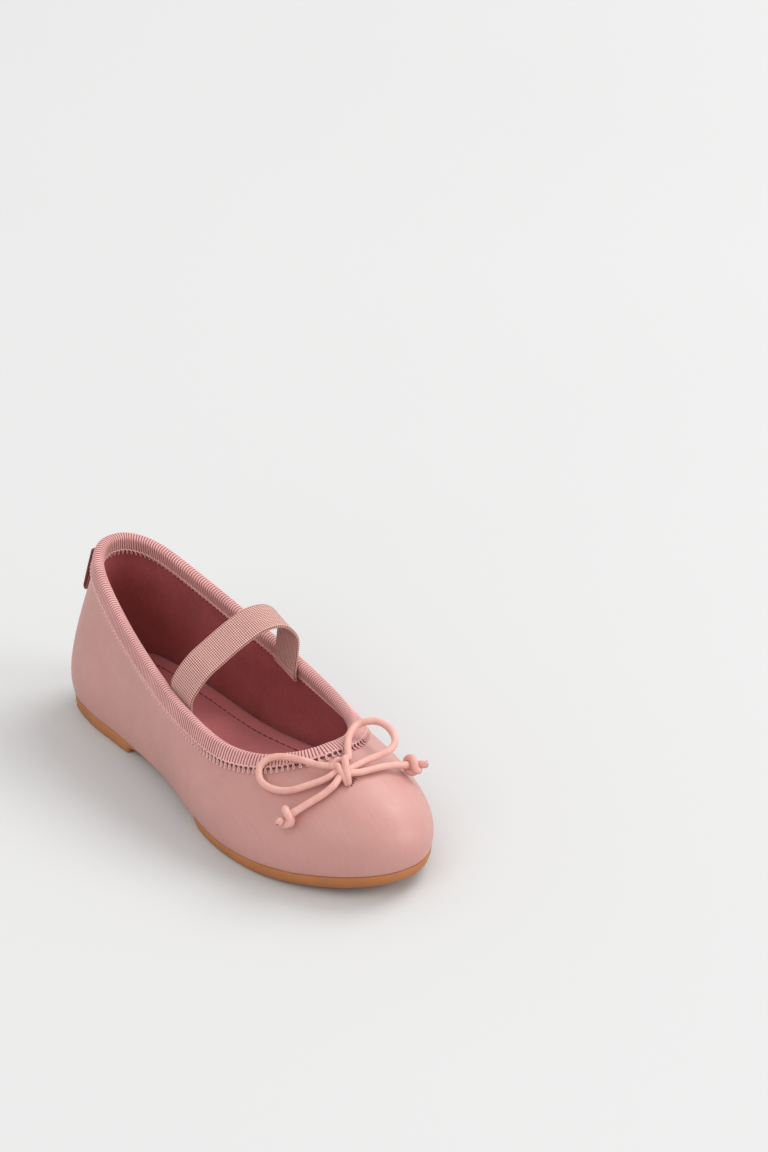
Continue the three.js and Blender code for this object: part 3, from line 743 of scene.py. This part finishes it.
def cord_look():
    """Round cord with a tight, smooth braid and a slight sheen; its braid's grooves carry painted shade."""
    look = Look("bow_cord", Specular_IOR_Level=0.4, Sheen_Weight=0.12)
    run, across = look.weave()[0], look.weave()[1]
    one = look.ridges(look.math("ADD", run, look.math("MULTIPLY", across, 0.9)), 0.62)
    other = look.ridges(look.math("SUBTRACT", run, look.math("MULTIPLY", across, 0.9)), 0.62)
    braid = look.math("MULTIPLY", one, other)
    clouds = look.noise(300, 3)
    colour = look.ramp(clouds, (0.3, CORD_DARK), (0.7, CORD_LIGHT))
    # tone darkens the grooves between the braid's strands: painted shade.
    tone = look.ramp(braid, (0.0, (0.9, 0.88, 0.88, 1)), (0.5, (1.02, 1.02, 1.02, 1)))
    colour = look.mix(1.0, colour, tone, "MULTIPLY")
    normal = look.bump(braid, 0.05, 0.35)
    normal = look.bump(look.noise(1800, 3), 0.03, 0.4, normal)
    return look.done(colour, look.spread(clouds, 0.3, 0.7, 0.42, 0.56), normal)


def plain_look(name, dark, light, scale, grain):
    """Inner materials: board, foam and stiffener."""
    look = Look(name, Specular_IOR_Level=0.25)
    fibres = look.noise(scale, 4)
    colour = look.ramp(fibres, (0.3, dark), (0.7, light))
    return look.done(colour, look.spread(fibres, 0.3, 0.7, 0.75, 0.95), look.bump(fibres, grain, 0.6))


def floor_look():
    look = Look("floor", Roughness=0.75, Specular_IOR_Level=0.2)
    colour = look.ramp(look.noise(3, 2), (0.3, (0.622, 0.624, 0.62, 1)), (0.7, (0.632, 0.634, 0.63, 1)))
    return look.done(colour)


LEATHER = leather_look()
# The valley colours are painted shade between the ribs; the crest colours are the ribs' lit tops.
GROSGRAIN = grosgrain_look("ribbed_tape", srgb(120, 58, 60), srgb(222, 166, 161))
TAB_TAPE = grosgrain_look("tab_tape", srgb(84, 32, 32), srgb(150, 74, 68), 0.7)
THREAD = thread_look("picot_thread", srgb(190, 128, 126), srgb(238, 190, 184))
# Binding seam thread, near black as painted shadow of the needle holes.
HOLE_SHADOW_THREAD = thread_look("binding_thread_hole_shadow", srgb(58, 24, 24), srgb(112, 56, 54))
SEAM_THREAD = thread_look("insock_thread", srgb(96, 42, 46), srgb(150, 78, 82))
SUEDE = suede_look()
INSOCK = insock_look()
GUM = gum_look()
ELASTIC = elastic_look()
CORD = cord_look()
TIP = thread_look("cut_fibres", srgb(120, 84, 50), srgb(196, 150, 96))
BOARD = plain_look("fibre_board", srgb(150, 128, 100), srgb(186, 166, 136), 900, 0.1)
FOAM = plain_look("insole_foam", srgb(206, 196, 180), srgb(228, 220, 206), 1800, 0.12)
STIFFENER = plain_look("stiffener_sheet", srgb(186, 176, 158), srgb(208, 200, 184), 1200, 0.06)


# ---------------------------------------------------------------------------------------------
# Upper, lining and binding
# ---------------------------------------------------------------------------------------------
RING_COUNT = 400
U = even_positions(RING_COUNT)[:, None]


def wall_relief(points, v):
    """Soft, shallow unevenness of leather pulled over a last, none at the sewn edges."""
    fade = smoothstep(v, 0, 0.12) * (1 - smoothstep(v, 0.8, 0.95))
    relief = [noise.noise(Vector(p) / 17) * 0.14 for p in points.reshape(-1, 3)]
    return np.array(relief).reshape(points.shape[:2]) * fade


def add_upper():
    margin = np.linspace(LASTING_MARGIN, 0.25, 7)[None, :]
    v = np.concatenate([[0.006, 0.014, 0.03, 0.05], np.linspace(0.08, 1, 34)])[None, :]
    relief = wall_relief(wall_surface(U, v), v)
    under = inward_point(np.repeat(U, margin.shape[1], 1), np.repeat(margin, len(U), 0), 0)
    over = inward_point(np.repeat(U, margin.shape[1], 1), np.repeat(margin + 0.7, len(U), 0), UPPER_THICKNESS)
    outer = np.concatenate([under, wall_point(U, v, -relief)], axis=1)
    inner_v = np.maximum(v, 0.03)
    inner = np.concatenate([over, wall_point(U, inner_v, UPPER_THICKNESS)], axis=1)
    points = np.concatenate([outer, inner[:, ::-1]], axis=1)
    piece = grid_object("upper_shell", points, section_uv(points))
    nodes = ["upper_quarters", "upper_vamp", *flexing("upper")]
    finish_piece(piece, LEATHER, nodes, blend=TOE_BEND)


def add_lining():
    v = np.linspace(0.06, 1, 30)[None, :]
    relief = wall_relief(wall_surface(U, v) + 90, v)
    outer = wall_point(U, v, lining_depth(v))
    inner = wall_point(U, v, lining_depth(v) + LINING_THICKNESS + relief * 0.8)
    points = np.concatenate([outer, inner[:, ::-1]], axis=1)
    piece = grid_object("lining_shell", points, section_uv(points))
    nodes = ["lining_quarters", "lining_vamp", *flexing("lining")]
    finish_piece(piece, SUEDE, nodes, blend=TOE_BEND)


def add_binding():
    """Ribbed tape folded over the top of the wall; its ribs are real ridges."""
    ribs = round(TAPE.total / RIB_PITCH)
    per_rib = 8
    run = np.arange(ribs * per_rib) / (ribs * per_rib) * TAPE.total
    rib = np.sqrt(np.abs(np.sin(math.pi * run * ribs / TAPE.total)))[:, None]
    run = run[:, None]
    leg = TAPE_LEG - np.array([0.0, 0.05, 0.15, 0.35, 0.65, 1.25, 1.95, 2.65, 3.45, TAPE_LEG])
    leg = leg[None, :]
    edge = smoothstep(leg, TAPE_LEG, TAPE_LEG - 0.2)
    body = BINDING_THICKNESS - 0.18
    proud = 0.1 + (GAP - 0.1 + body) * edge + RIB_DEPTH * rib * edge
    outer_leg = TAPE.outside(run, leg, proud)
    inner_leg = TAPE.inside(run, leg[:, ::-1], proud[:, ::-1])
    u = TAPE.u_at(run)
    far = float(lining_depth(1.0)) + LINING_THICKNESS + GAP
    middle = (far - GAP) / 2
    upward = unit(wall_surface(u, 1.0) - wall_surface(u, 0.98))
    turn = np.linspace(0, math.pi, 11)[None, 1:-1]

    def fold(half_width, rise):
        depth = middle - half_width * np.cos(turn)
        return wall_point(u, 1.0, depth) + upward * (rise * np.sin(turn))[..., None]

    reach = (far - GAP) / 2 + GAP + body + RIB_DEPTH * rib
    over = fold(reach, 0.7 + body + RIB_DEPTH * rib)
    outside = np.concatenate([outer_leg, over, inner_leg], axis=1)
    hidden_leg = leg[:, [0, 5, 9]]
    hidden = np.concatenate(
        [
            TAPE.outside(run, hidden_leg, 0.05 + 0 * run),
            fold((far - GAP) / 2 + GAP - 0.1 + 0 * rib, 0.5 + 0 * rib)[:, ::3],
            TAPE.inside(run, hidden_leg[:, ::-1], 0.05 + 0 * run),
        ],
        axis=1,
    )
    points = np.concatenate([outside, hidden[:, ::-1]], axis=1)
    uv = section_uv(points)
    uv[..., 0] = (np.arange(len(points) + 1) / per_rib * RIB_PITCH)[:, None]
    piece = grid_object("binding_tape", points, uv)
    nodes = ["binding_quarters", "binding_throat", *flexing("binding")]
    finish_piece(piece, GROSGRAIN, nodes, blend=TOE_BEND)


def add_picot():
    """Looped edge stitch along both edges of the binding, and the seam that holds it, whose near-black
    stitches are painted shadow of the needle holes.
    """
    loops = round(TAPE.total / PICOT_PITCH)
    per_loop = 14
    phase = np.arange(loops * per_loop) / per_loop
    pitch = TAPE.total / loops
    run = pitch * (phase - 0.36 * np.sin(2 * math.pi * phase))
    height = PICOT_MIDDLE + PICOT_SWING * np.cos(2 * math.pi * phase)
    drop = smoothstep(height, 4.1, 5.2)
    weave = 0.14 * np.sin(2 * math.pi * phase)
    proud = lerp(BINDING_THICKNESS + GAP, 0.34, drop) + weave
    parts = [
        tube_parts(TAPE.outside(run, height, proud), PICOT_RADIUS, 6, closed=True),
        tube_parts(TAPE.inside(run, height, proud), PICOT_RADIUS, 6, closed=True),
    ]
    piece = joined("picot_edges", parts)
    finish_piece(piece, THREAD, blend=TOE_BEND)

    # Short seam stitches beside the picot, coloured near black as painted shadow of the needle holes.
    stitches = []
    for side in (TAPE.outside, TAPE.inside):
        for k in range(loops):
            at = (k + np.linspace(0.22, 0.78, 5)) * pitch
            arch = np.array([0.2, 0.34, 0.4, 0.34, 0.2])
            stitches.append(tube_parts(side(at, TAPE_LEG + 0.15 + 0 * at, arch), 0.24, 6))
    piece = joined("binding_seam_hole_shadow", stitches)
    finish_piece(piece, HOLE_SHADOW_THREAD, blend=TOE_BEND)


# ---------------------------------------------------------------------------------------------
# Insoles and sole
# ---------------------------------------------------------------------------------------------
SOLE_COUNT = 700
SOLE_U = even_positions(SOLE_COUNT)
THIN_COUNT = 240
THIN_U = even_positions(THIN_COUNT)


def slab_rings(positions, inset, low, high, rounding):
    """Rings round a slab between two heights over the junction, with rounded edges."""
    r = rounding
    steps = [
        (inset + 2 * r, high), (inset + r, high), (inset + 0.3 * r, high - 0.3 * r), (inset, high - r),
        (inset, low + r), (inset + 0.3 * r, low + 0.3 * r), (inset + r, low), (inset + 2 * r, low),
    ]
    return [inward_point(positions, np.full(len(positions), i), lift) for i, lift in steps]


def follow_junction(lift):
    def shape(inner, _left, _right, _share):
        inner = inner.copy()
        inner[:, 2] = junction_height(along_of(inner[:, 0])) + lift
        return inner

    return shape


def add_inner_layers():
    layers = [
        ("insole_board", BOARD_LIFT, 1.4, BOARD, "board"),
        ("insock_foam", FOAM_LIFT, 1.6, FOAM, "foam"),
    ]
    for name, lift, thickness, look, slot in layers:
        rings = slab_rings(THIN_U, INSOLE_INSET, lift, lift + thickness, 0.25)
        shapes = follow_junction(lift + thickness), follow_junction(lift)
        piece = plate(f"{name}_sheet", THIN_U, rings, *shapes, columns=16)
        finish_piece(piece, look, [f"{name}_rear", f"{name}_forefoot"], blend=TOE_BEND)


def seam_line(count):
    """The insock's seam, a loop inside its edge."""
    u = even_positions(600)
    line = inward_point(u, np.full(len(u), INSOLE_INSET + INSOCK_SEAM_INSET - 1), INSOCK_TOP)
    return evenly(np.concatenate([line, line[:1]]), count + 1)[:-1]


def add_insock():
    """Insole cover over foam: softly crowned, drawn down along its seam, turned up at the edge."""
    seam = seam_line(900)

    def top_shape(inner, left, right, share):
        inner = inner.copy()
        base = junction_height(along_of(inner[:, 0])) + INSOCK_TOP
        from_edge = np.minimum(share[:, 0], 1 - share[:, 0]) * np.linalg.norm(right - left)
        distance = np.min(np.linalg.norm(inner[:, None, :2] - seam[None, :, :2], axis=2), axis=1)
        groove = 0.42 * np.exp(-((distance / 0.75) ** 2))
        crown = 0.35 * smoothstep(from_edge, 6, 16) + 0.25 * smoothstep(from_edge, 0, 3)
        soft = [0.1 * noise.noise(Vector(p) / 9) for p in inner]
        inner[:, 2] = base + crown - groove + np.array(soft)
        return inner

    positions = even_positions(500)
    rings = slab_rings(positions, INSOLE_INSET - 0.35, INSOCK_LIFT, INSOCK_TOP, 0.3)
    piece = plate("insock_cover", positions, rings, top_shape, follow_junction(INSOCK_LIFT), 90)
    finish_piece(piece, INSOCK, ["insock_rear", "insock_forefoot"], blend=TOE_BEND)

    run = lengths_along(np.concatenate([seam, seam[:1]]))
    total = run[-1]
    count = round(total / INSOCK_STITCH_PITCH)
    parts = []
    looped = np.concatenate([seam, seam[:1]])
    for k in range(count):
        at = (k + np.linspace(0.12, 0.88, 6)) * total / count
        line = np.stack([np.interp(at, run, looped[:, c]) for c in range(3)], 1)
        line[:, 2] += np.array([-0.35, -0.12, 0, 0, -0.12, -0.35]) + 0.06
        parts.append(tube_parts(line, 0.26, 6))
    piece = joined("insock_stitches", parts)
    finish_piece(piece, SEAM_THREAD, blend=TOE_BEND)


def sole_bottom(x):
    """Height of the ground side of the sole at x."""
    s = x - HEEL_BACK
    step = HEEL_STEP * smoothstep(s, HEEL_LENGTH, HEEL_LENGTH + 1.0)
    waist = 1 - smoothstep(s, HEEL_LENGTH + 1.0, WAIST_END)
    spring = TOE_SPRING * np.clip((s - TREAD_END) / (LENGTH - TREAD_END), 0, 1.05) ** 2
    return step * waist + spring


def tread(points, from_edge):
    """Shallow wavy grooves on the heel pad and the forefoot, inside a plain rim."""
    s = points[:, 0] - HEEL_BACK
    wave = points[:, 0] + 1.2 * np.cos(points[:, 1] * 0.45)
    groove = smoothstep(np.cos(wave * 2 * math.pi / 3.6), 0.35, 0.8)
    zone = smoothstep(s, 5, 6.5) * (1 - smoothstep(s, 40, 41.5))
    zone = zone + smoothstep(s, 88, 90) * (1 - smoothstep(s, 160, 162))
    return 0.45 * groove * zone * smoothstep(from_edge, 3.5, 4.3)


def add_outsole():
    """Moulded sole: top under the upper, side drawn in towards the ground, grooved underneath."""
    steps = [
        (3.0, 1.0), (0.9, 1.0), (0.25, 0.97), (0.0, 0.86), (0.1, 0.5),
        (0.35, 0.2), (0.75, 0.06), (1.5, 0.0), (3.0, 0.0),
    ]
    along = along_of(closed_curve(FEATHER, SOLE_U)[:, 0])
    tuck = WAIST_TUCK * smoothstep(along, 0.24, 0.36) * (1 - smoothstep(along, 0.46, 0.6))
    toe_taper = 1 + 0.9 * smoothstep(along, 0.6, 0.9)
    rings = []
    for inset, share in steps:
        drawn = inset * (1 if share > 0.9 else toe_taper)
        loop = inward_point(SOLE_U, tuck + drawn, 0)
        low = sole_bottom(loop[:, 0])
        loop[:, 2] = lerp(low, loop[:, 2] - 0.05, share)
        rings.append(loop)

    def bottom_shape(inner, left, right, share):
        inner = inner.copy()
        from_edge = np.minimum(share[:, 0], 1 - share[:, 0]) * np.linalg.norm(right - left)
        inner[:, 2] = sole_bottom(inner[:, 0]) + tread(inner, from_edge + 3.0)
        return inner

    piece = plate("outsole_unit", SOLE_U, rings, follow_junction(-0.05), bottom_shape, columns=60)
    finish_piece(piece, GUM, ["outsole_rear", "outsole_forefoot"], blend=TOE_BEND)


def add_filler():
    """Filler between the lasting margins under the ball of the foot."""
    count = 120
    fine = np.linspace(0, 0.5, 800)
    line = inward_point(fine, np.full(len(fine), LASTING_MARGIN + 0.6), 0)
    start_x = FLEX_X + GAP / 2
    end_x = HEEL_BACK + LENGTH * 0.955
    starts = np.interp([start_x, end_x], line[:, 0], fine)
    half = np.linspace(*starts, count)

    def row(lift):
        left = inward_point(half, np.full(count, LASTING_MARGIN + 0.6), lift)
        right = inward_point(1 - half, np.full(count, LASTING_MARGIN + 0.6), lift)
        share = np.linspace(0, 1, 13)[None, :, None]
        return lerp(left[:, None], right[:, None], share)

    sections = np.concatenate([row(UPPER_THICKNESS - 0.05), row(0.05)[:, ::-1]], axis=1)
    width = sections.shape[1]
    sides, _ = grid_faces(count, width, False, True)
    ends = [list(range(width)), [(count - 1) * width + k for k in range(width)][::-1]]
    faces = [list(f) for f in sides] + ends
    flat = sections.reshape(-1, 3)
    uvs = np.concatenate([flat[f][:, :2] for f in faces])
    piece = make_mesh("ball_filler", flat, faces, uvs)
    finish_piece(piece, FOAM, ["forefoot_filler"], blend=TOE_BEND)


# ---------------------------------------------------------------------------------------------
# Strap and pull tab
# ---------------------------------------------------------------------------------------------
def band_sections(line, widths, normals, half_width, half_thickness, edge):
    """Sections of a flat band. edge is how much thicker its selvedges are."""
    across = np.linspace(-1, 1, 25)
    rows = []
    profile = half_thickness * (1 - 0.12 * (1 - across**2) + edge * (np.abs(across) > 0.88))
    profile[[0, -1]] *= 0.45
    for point, width, normal in zip(line, widths, normals):
        top = [point + width * a * half_width + normal * h for a, h in zip(across, profile)]
        back = zip(across[::-1], profile[::-1])
        bottom = [point + width * a * half_width - normal * h for a, h in back]
        rows.append(top + bottom)
    return np.array(rows)


def capped_band(name, sections, uv):
    rows, width = sections.shape[:2]
    faces, corners = grid_faces(rows, width, False, True)
    uvs = np.stack([uv[a, b] for a, b in corners], -2).reshape(-1, 2)
    faces = [list(f) for f in faces]
    faces += [list(range(width))[::-1], [(rows - 1) * width + k for k in range(width)]]
    uvs = np.concatenate([uvs, np.zeros((2 * width, 2))])
    return make_mesh(name, sections.reshape(-1, 3), faces, uvs)


def strap_path(count):
    line = np.array([[0, y, z] for y, z in STRAP_LINE])
    arch = open_curve(line, 200)
    ends = []
    for y, lean in STRAP_ENDS:
        drop = np.linspace(STRAP_SEWN_LENGTH, 0.3, 8)
        ends.append(np.stack([0 * drop, y + lean * drop, STRAP_PIVOT_HEIGHT - drop], 1))
    whole = np.concatenate([ends[0], arch, ends[1][::-1]])
    return evenly(whole, count)


def add_strap():
    """Knitted elastic over the instep, its two ends sewn flat on the lining."""
    line = strap_path(260)
    line[:, 0] = STRAP_X + STRAP_LEAN * np.maximum(0, line[:, 2] - STRAP_PIVOT_HEIGHT)
    tangents = unit(np.gradient(line, axis=0))
    widths = np.tile([math.cos(STRAP_TILT), 0, -math.sin(STRAP_TILT)], (len(line), 1))
    normals = unit(np.cross(widths, tangents))
    sections = band_sections(line, widths, normals, STRAP_WIDTH / 2, STRAP_THICKNESS / 2, 0.16)
    run = lengths_along(line)
    across = np.concatenate([np.linspace(0, STRAP_WIDTH, 25), np.linspace(STRAP_WIDTH, 0, 25)])
    across = np.concatenate([across, across[:1]])
    uv = np.stack(np.meshgrid(run, across, indexing="ij"), -1)
    piece = capped_band("strap_band", sections, uv)
    start = (STRAP_X * MM, 0, (STRAP_PIVOT_HEIGHT - 2.2) * MM)
    end = (STRAP_X * MM, 0, (STRAP_PIVOT_HEIGHT + 5.2) * MM)
    nodes = ["elastic_strap", "strap_end_lateral", "strap_end_medial"]
    finish_piece(piece, ELASTIC, nodes, blend=("rear", "strap", start, end))

    parts = []
    for y, lean in STRAP_ENDS:
        inward = -0.7 * math.copysign(1, y)
        for row in (0.2, 1.6):
            steps = np.arange(0, 27)
            across = lerp(-5.3, 5.3, steps / 26)
            drop = row + 0.55 * np.where(steps % 2, 1, -1)
            height = STRAP_PIVOT_HEIGHT - drop - across * math.sin(STRAP_TILT)
            bar = np.stack([STRAP_X + across, y + lean * drop + inward, height], 1)
            parts.append(tube_parts(evenly(bar, 130), 0.17, 6))
    finish_piece(joined("strap_bartacks", parts), THREAD, body="rear")


def add_pull_tab():
    """Short folded tape, open a little in the fold, that hangs out behind the heel."""
    tall = np.linalg.norm(wall_surface(0.0, 1.0) - wall_surface(0.0, 0.9)) * 10
    root = wall_point(0.0, 1 - BINDING_HEIGHT / tall - 0.012, -0.9)
    hang = np.array([-math.sin(TAB_LEAN), 0, -math.cos(TAB_LEAN)])
    out = np.array([hang[2], 0, -hang[0]])
    middle = TAB_THICKNESS + 0.4
    half = middle - TAB_THICKNESS / 2

    def at(down, side):
        return root + hang * down + out * (side + middle)

    down = np.linspace(-1.2, TAB_LENGTH - 1.3, 26)
    belly = 0.22 * np.sin(np.clip(down / (TAB_LENGTH - 1), 0, 1) * math.pi)
    outer = [at(d, -half - b) for d, b in zip(down, belly)]
    fold = []
    for turn in np.linspace(0, math.pi, 10)[1:-1]:
        fold.append(at(TAB_LENGTH - 1.3 + 0.9 * math.sin(turn), -half * math.cos(turn)))
    inner = [at(d, half + 0.4 * b) for d, b in zip(down[::-1], belly[::-1])]
    line = evenly(np.array(outer + fold + inner), 90)
    tangents = unit(np.gradient(line, axis=0))
    normals = np.stack([-tangents[:, 2], 0 * tangents[:, 0], tangents[:, 0]], 1)
    across = np.linspace(-1, 1, 19)
    run = lengths_along(line)
    ribs = np.sqrt(np.abs(np.sin(math.pi * run / 0.7))) * 0.1
    rows = []
    for point, normal, rib in zip(line, normals, ribs):
        h = TAB_THICKNESS / 2 * 0.72 + rib
        edge = np.where(np.abs(across) > 0.97, 0.5, 1.0)
        sides = [point + [0, a * TAB_WIDTH / 2, 0] for a in across]
        top = [p + normal * h * e for p, e in zip(sides, edge)]
        bottom = [p - normal * h * e for p, e in zip(sides[::-1], edge)]
        rows.append(top + bottom)
    sections = np.array(rows)
    width = np.concatenate([across, across[::-1], across[:1]]) * TAB_WIDTH / 2
    uv = np.stack(np.meshgrid(run, width, indexing="ij"), -1)
    piece = capped_band("pull_tab_loop", sections, uv)
    finish_piece(piece, TAB_TAPE, ["pull_tab"], body="pull_tab")


# ---------------------------------------------------------------------------------------------
# Bow
# ---------------------------------------------------------------------------------------------
def bow_line(route, count):
    line = open_curve(route, count)
    line[:, 0] += HEEL_BACK
    return line


def add_loops():
    for side, route in (("lateral", LOOP_LATERAL), ("medial", LOOP_MEDIAL)):
        line = bow_line(route, 90)
        piece = joined(f"bow_cord_{side}", [tube_parts(line, CORD_RADIUS, 16, capped=False)])
        finish_piece(piece, CORD, [f"bow_loop_{side}"], body=f"loop_{side}")


def local_axes(along):
    along = unit(np.asarray(along, float))
    side = unit(np.cross(along, [0, 0, 1.0]))
    return along, side, np.cross(along, side)


# An overhand knot drawn tight, as steps along the tail, to its side and up: the cord runs
# through, turns back, goes once round and leaves through its own turn.
KNOT_SCALE = 1.1
OVERHAND = [
    (-3.2, 0, 0), (-1.2, 0.1, 0), (0.7, 0.3, 0.3), (1.7, 1.1, 0.9), (1.0, 1.9, 0.9),
    (-0.4, 2.0, 0.2), (-0.8, 1.3, -1.5), (-0.8, -0.4, -2.0), (-0.8, -1.9, -0.9),
    (-0.7, -1.7, 1.0), (-0.5, -0.3, 2.0), (0.3, 0.9, 1.9), (1.2, 0.7, 0.2), (1.8, 1.1, -0.7),
    (2.5, 2.1, -1.1),
]


def overhand_knot(centre, along, radius, hand):
    axes = np.stack(local_axes(along)) * [[1], [hand], [1]]
    line = centre + KNOT_SCALE * open_curve(np.array(OVERHAND, float), 150) @ axes
    return line, tube_parts(line, radius, 14)


def frayed_end(start, along, count, spread, length, radius):
    """Cut fibres at the end of the cord."""
    along, side, up = local_axes(along)
    rng = random.Random(7)
    parts = []
    for _ in range(count):
        angle = rng.uniform(0, 2 * math.pi)
        out = rng.uniform(0.1, 1.0)
        direction = side * math.cos(angle) + up * math.sin(angle)
        foot = start + direction * out * CORD_RADIUS * 0.75
        tip = foot + along * length * rng.uniform(0.6, 1.0) + direction * spread * out
        middle = (foot + tip) / 2 + direction * 0.1
        parts.append(tube_parts(open_curve([foot, middle, tip], 6), radius, 6))
    return parts


def add_tails():
    for side, route in (("lateral", TAIL_LATERAL), ("medial", TAIL_MEDIAL)):
        line = bow_line(route, 60)
        piece = joined(f"tail_cord_{side}", [tube_parts(line, CORD_RADIUS, 16)])
        finish_piece(piece, CORD, [f"bow_tail_{side}"], body=f"tail_{side}")

        along = unit(line[-1] - line[-4])
        centre = line[-1] + along * TAIL_KNOT_REACH
        hand = 1 if side == "medial" else -1
        route, knot = overhand_knot(centre, along, CORD_RADIUS * 1.08, hand)
        knot = joined(f"knot_cord_{side}", [knot])
        finish_piece(knot, CORD, [f"tail_knot_{side}"], body=f"tail_{side}")

        out = unit(route[-1] - route[-8])
        fibres = frayed_end(route[-1] - out * 0.3, out, 30, 0.35, 1.3, 0.13)
        look = TIP if side == "medial" else CORD
        finish_piece(joined(f"cut_end_{side}", fibres), look, body=f"tail_{side}")


def vamp_point(x, y, proud):
    """A point over the vamp, proud millimetres above its face."""
    u, v = np.meshgrid(np.linspace(0.42, 0.58, 161), np.linspace(0.3, 1, 141))
    places = wall_surface(u, v)
    miss = np.hypot(places[..., 0] - x, places[..., 1] - y)
    nearest = np.unravel_index(np.argmin(miss), miss.shape)
    return wall_point(u[nearest], v[nearest], -proud)


def add_bow_knot():
    """The middle of the bow: the medial strand crosses over the others, two turns lie beside and
    behind it, and short strands lead to the loops and tails."""
    centre = np.array([HEEL_BACK + KNOT[0], KNOT[1], KNOT[2]])

    def from_centre(point):
        return np.array([HEEL_BACK + point[0], point[1], point[2]]) - centre

    def turn(radius, *offsets):
        line = open_curve([centre + o for o in offsets], 44)
        return tube_parts(line, np.interp(np.linspace(0, 1, 44), [0, 0.6, 1], radius), 16)

    over = [(-2.7, 1.7, 1.7), (-0.9, 0.2, 2.0), (1.2, -0.9, 1.3), (3.0, -1.6, -0.6)]
    beside = [(-2.4, -2.7, -1.6), (-2.5, -2.5, 0.2), (-1.2, -2.3, 1.0), (0.9, -2.7, 0.2)]
    behind = [(-3.2, -2.9, -1.6), (-4.0, -2.0, 0.4), (-3.7, -0.6, 1.3), (-3.0, 0.7, 0.9)]
    parts = [
        turn([1.15, 1.2, 1.0], from_centre(LOOP_MEDIAL[0]), *over, (3.9, -1.9, -2.8)),
        turn([1.1, 1.0, 0.6], *beside, (2.7, -2.8, -1.3), (3.7, -2.7, -3.2)),
        turn([1.0, 1.05, 0.9], *behind, (-2.6, 1.5, -0.8)),
    ]
    strands = [
        (LOOP_LATERAL[0], (-0.9, -0.9, 0.0)),
        (LOOP_LATERAL[-1], (0.1, -0.9, -0.5)),
        (LOOP_MEDIAL[-1], (0.5, 0.0, -0.5)),
        (TAIL_LATERAL[0], (1.3, -0.8, -0.9)),
        (TAIL_MEDIAL[0], (1.8, -0.4, -0.9)),
    ]
    for point, inside in strands:
        end = centre + from_centre(point)
        line = open_curve([centre + inside, (centre + inside + end) / 2, end], 12)
        parts.append(tube_parts(line, CORD_RADIUS, 16))
    finish_piece(joined("bow_knot_wraps", parts), CORD, ["bow_knot"], body="forefoot")

    stitches = []
    for k in range(4):
        x = centre[0] + 4.0 - 0.45 * k
        y = centre[1] - 0.9 + 0.8 * k
        ends = [(x - 0.5, y - 0.2, -0.1), (x, y, 0.3), (x + 0.5, y + 0.2, -0.1)]
        line = open_curve([vamp_point(*end) for end in ends], 8)
        stitches.append(tube_parts(line, 0.16, 6))
    finish_piece(joined("bow_stitches", stitches), SEAM_THREAD, body="forefoot")


# ---------------------------------------------------------------------------------------------
# Carried-over CAD pieces, floor and light
# ---------------------------------------------------------------------------------------------
def dress_cad_nodes():
    """Inner pieces whose CAD shape is right keep it and get a finished material."""
    looks = {"heel_counter": STIFFENER, "toe_puff": STIFFENER, "shank_board": BOARD}
    for name, look in looks.items():
        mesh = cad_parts[name].data
        mesh.materials.clear()
        mesh.materials.append(look)


FLOOR_HALF = 3000.0


def add_floor():
    half = FLOOR_HALF
    corners = [(-half, -half, 0), (half, -half, 0), (half, half, 0), (-half, half, 0)]
    floor = make_mesh("floor", corners, [[0, 1, 2, 3]], smooth=False)
    floor.data.materials.append(floor_look())


# Name, place in metres, size in metres and power in watts.
LIGHTS = (
    ("key", (-0.1, 2.3, 2.9), 2.4, 68),
    ("side", (2.2, 1.7, 1.3), 1.6, 29),
    ("fill", (1.2, -2.6, 2.6), 3.0, 34),
)
LIGHT_TARGET = (0.06, 0, 0.03)
WORLD_STRENGTH = 0.73


def add_light(name, place, target, size, power):
    data = bpy.data.lights.new(name, "AREA")
    data.shape = "DISK"
    data.size = size
    data.energy = power
    light = bpy.data.objects.new(name, data)
    bpy.context.scene.collection.objects.link(light)
    aim(light, place, target)


def add_lights():
    for name, place, size, power in LIGHTS:
        add_light(name, place, LIGHT_TARGET, size, power)
    world = bpy.data.worlds.new("studio")
    world.use_nodes = True
    background = world.node_tree.nodes["Background"]
    background.inputs["Color"].default_value = (1.0, 1.0, 1.0, 1)
    background.inputs["Strength"].default_value = WORLD_STRENGTH
    bpy.context.scene.world = world
    bpy.context.scene.view_settings.view_transform = "Standard"


add_camera()
add_loops()
add_tails()
add_bow_knot()
add_upper()
add_lining()
add_binding()
add_picot()
add_insock()
add_inner_layers()
add_filler()
add_outsole()
add_strap()
add_pull_tab()
dress_cad_nodes()
add_floor()
add_lights()
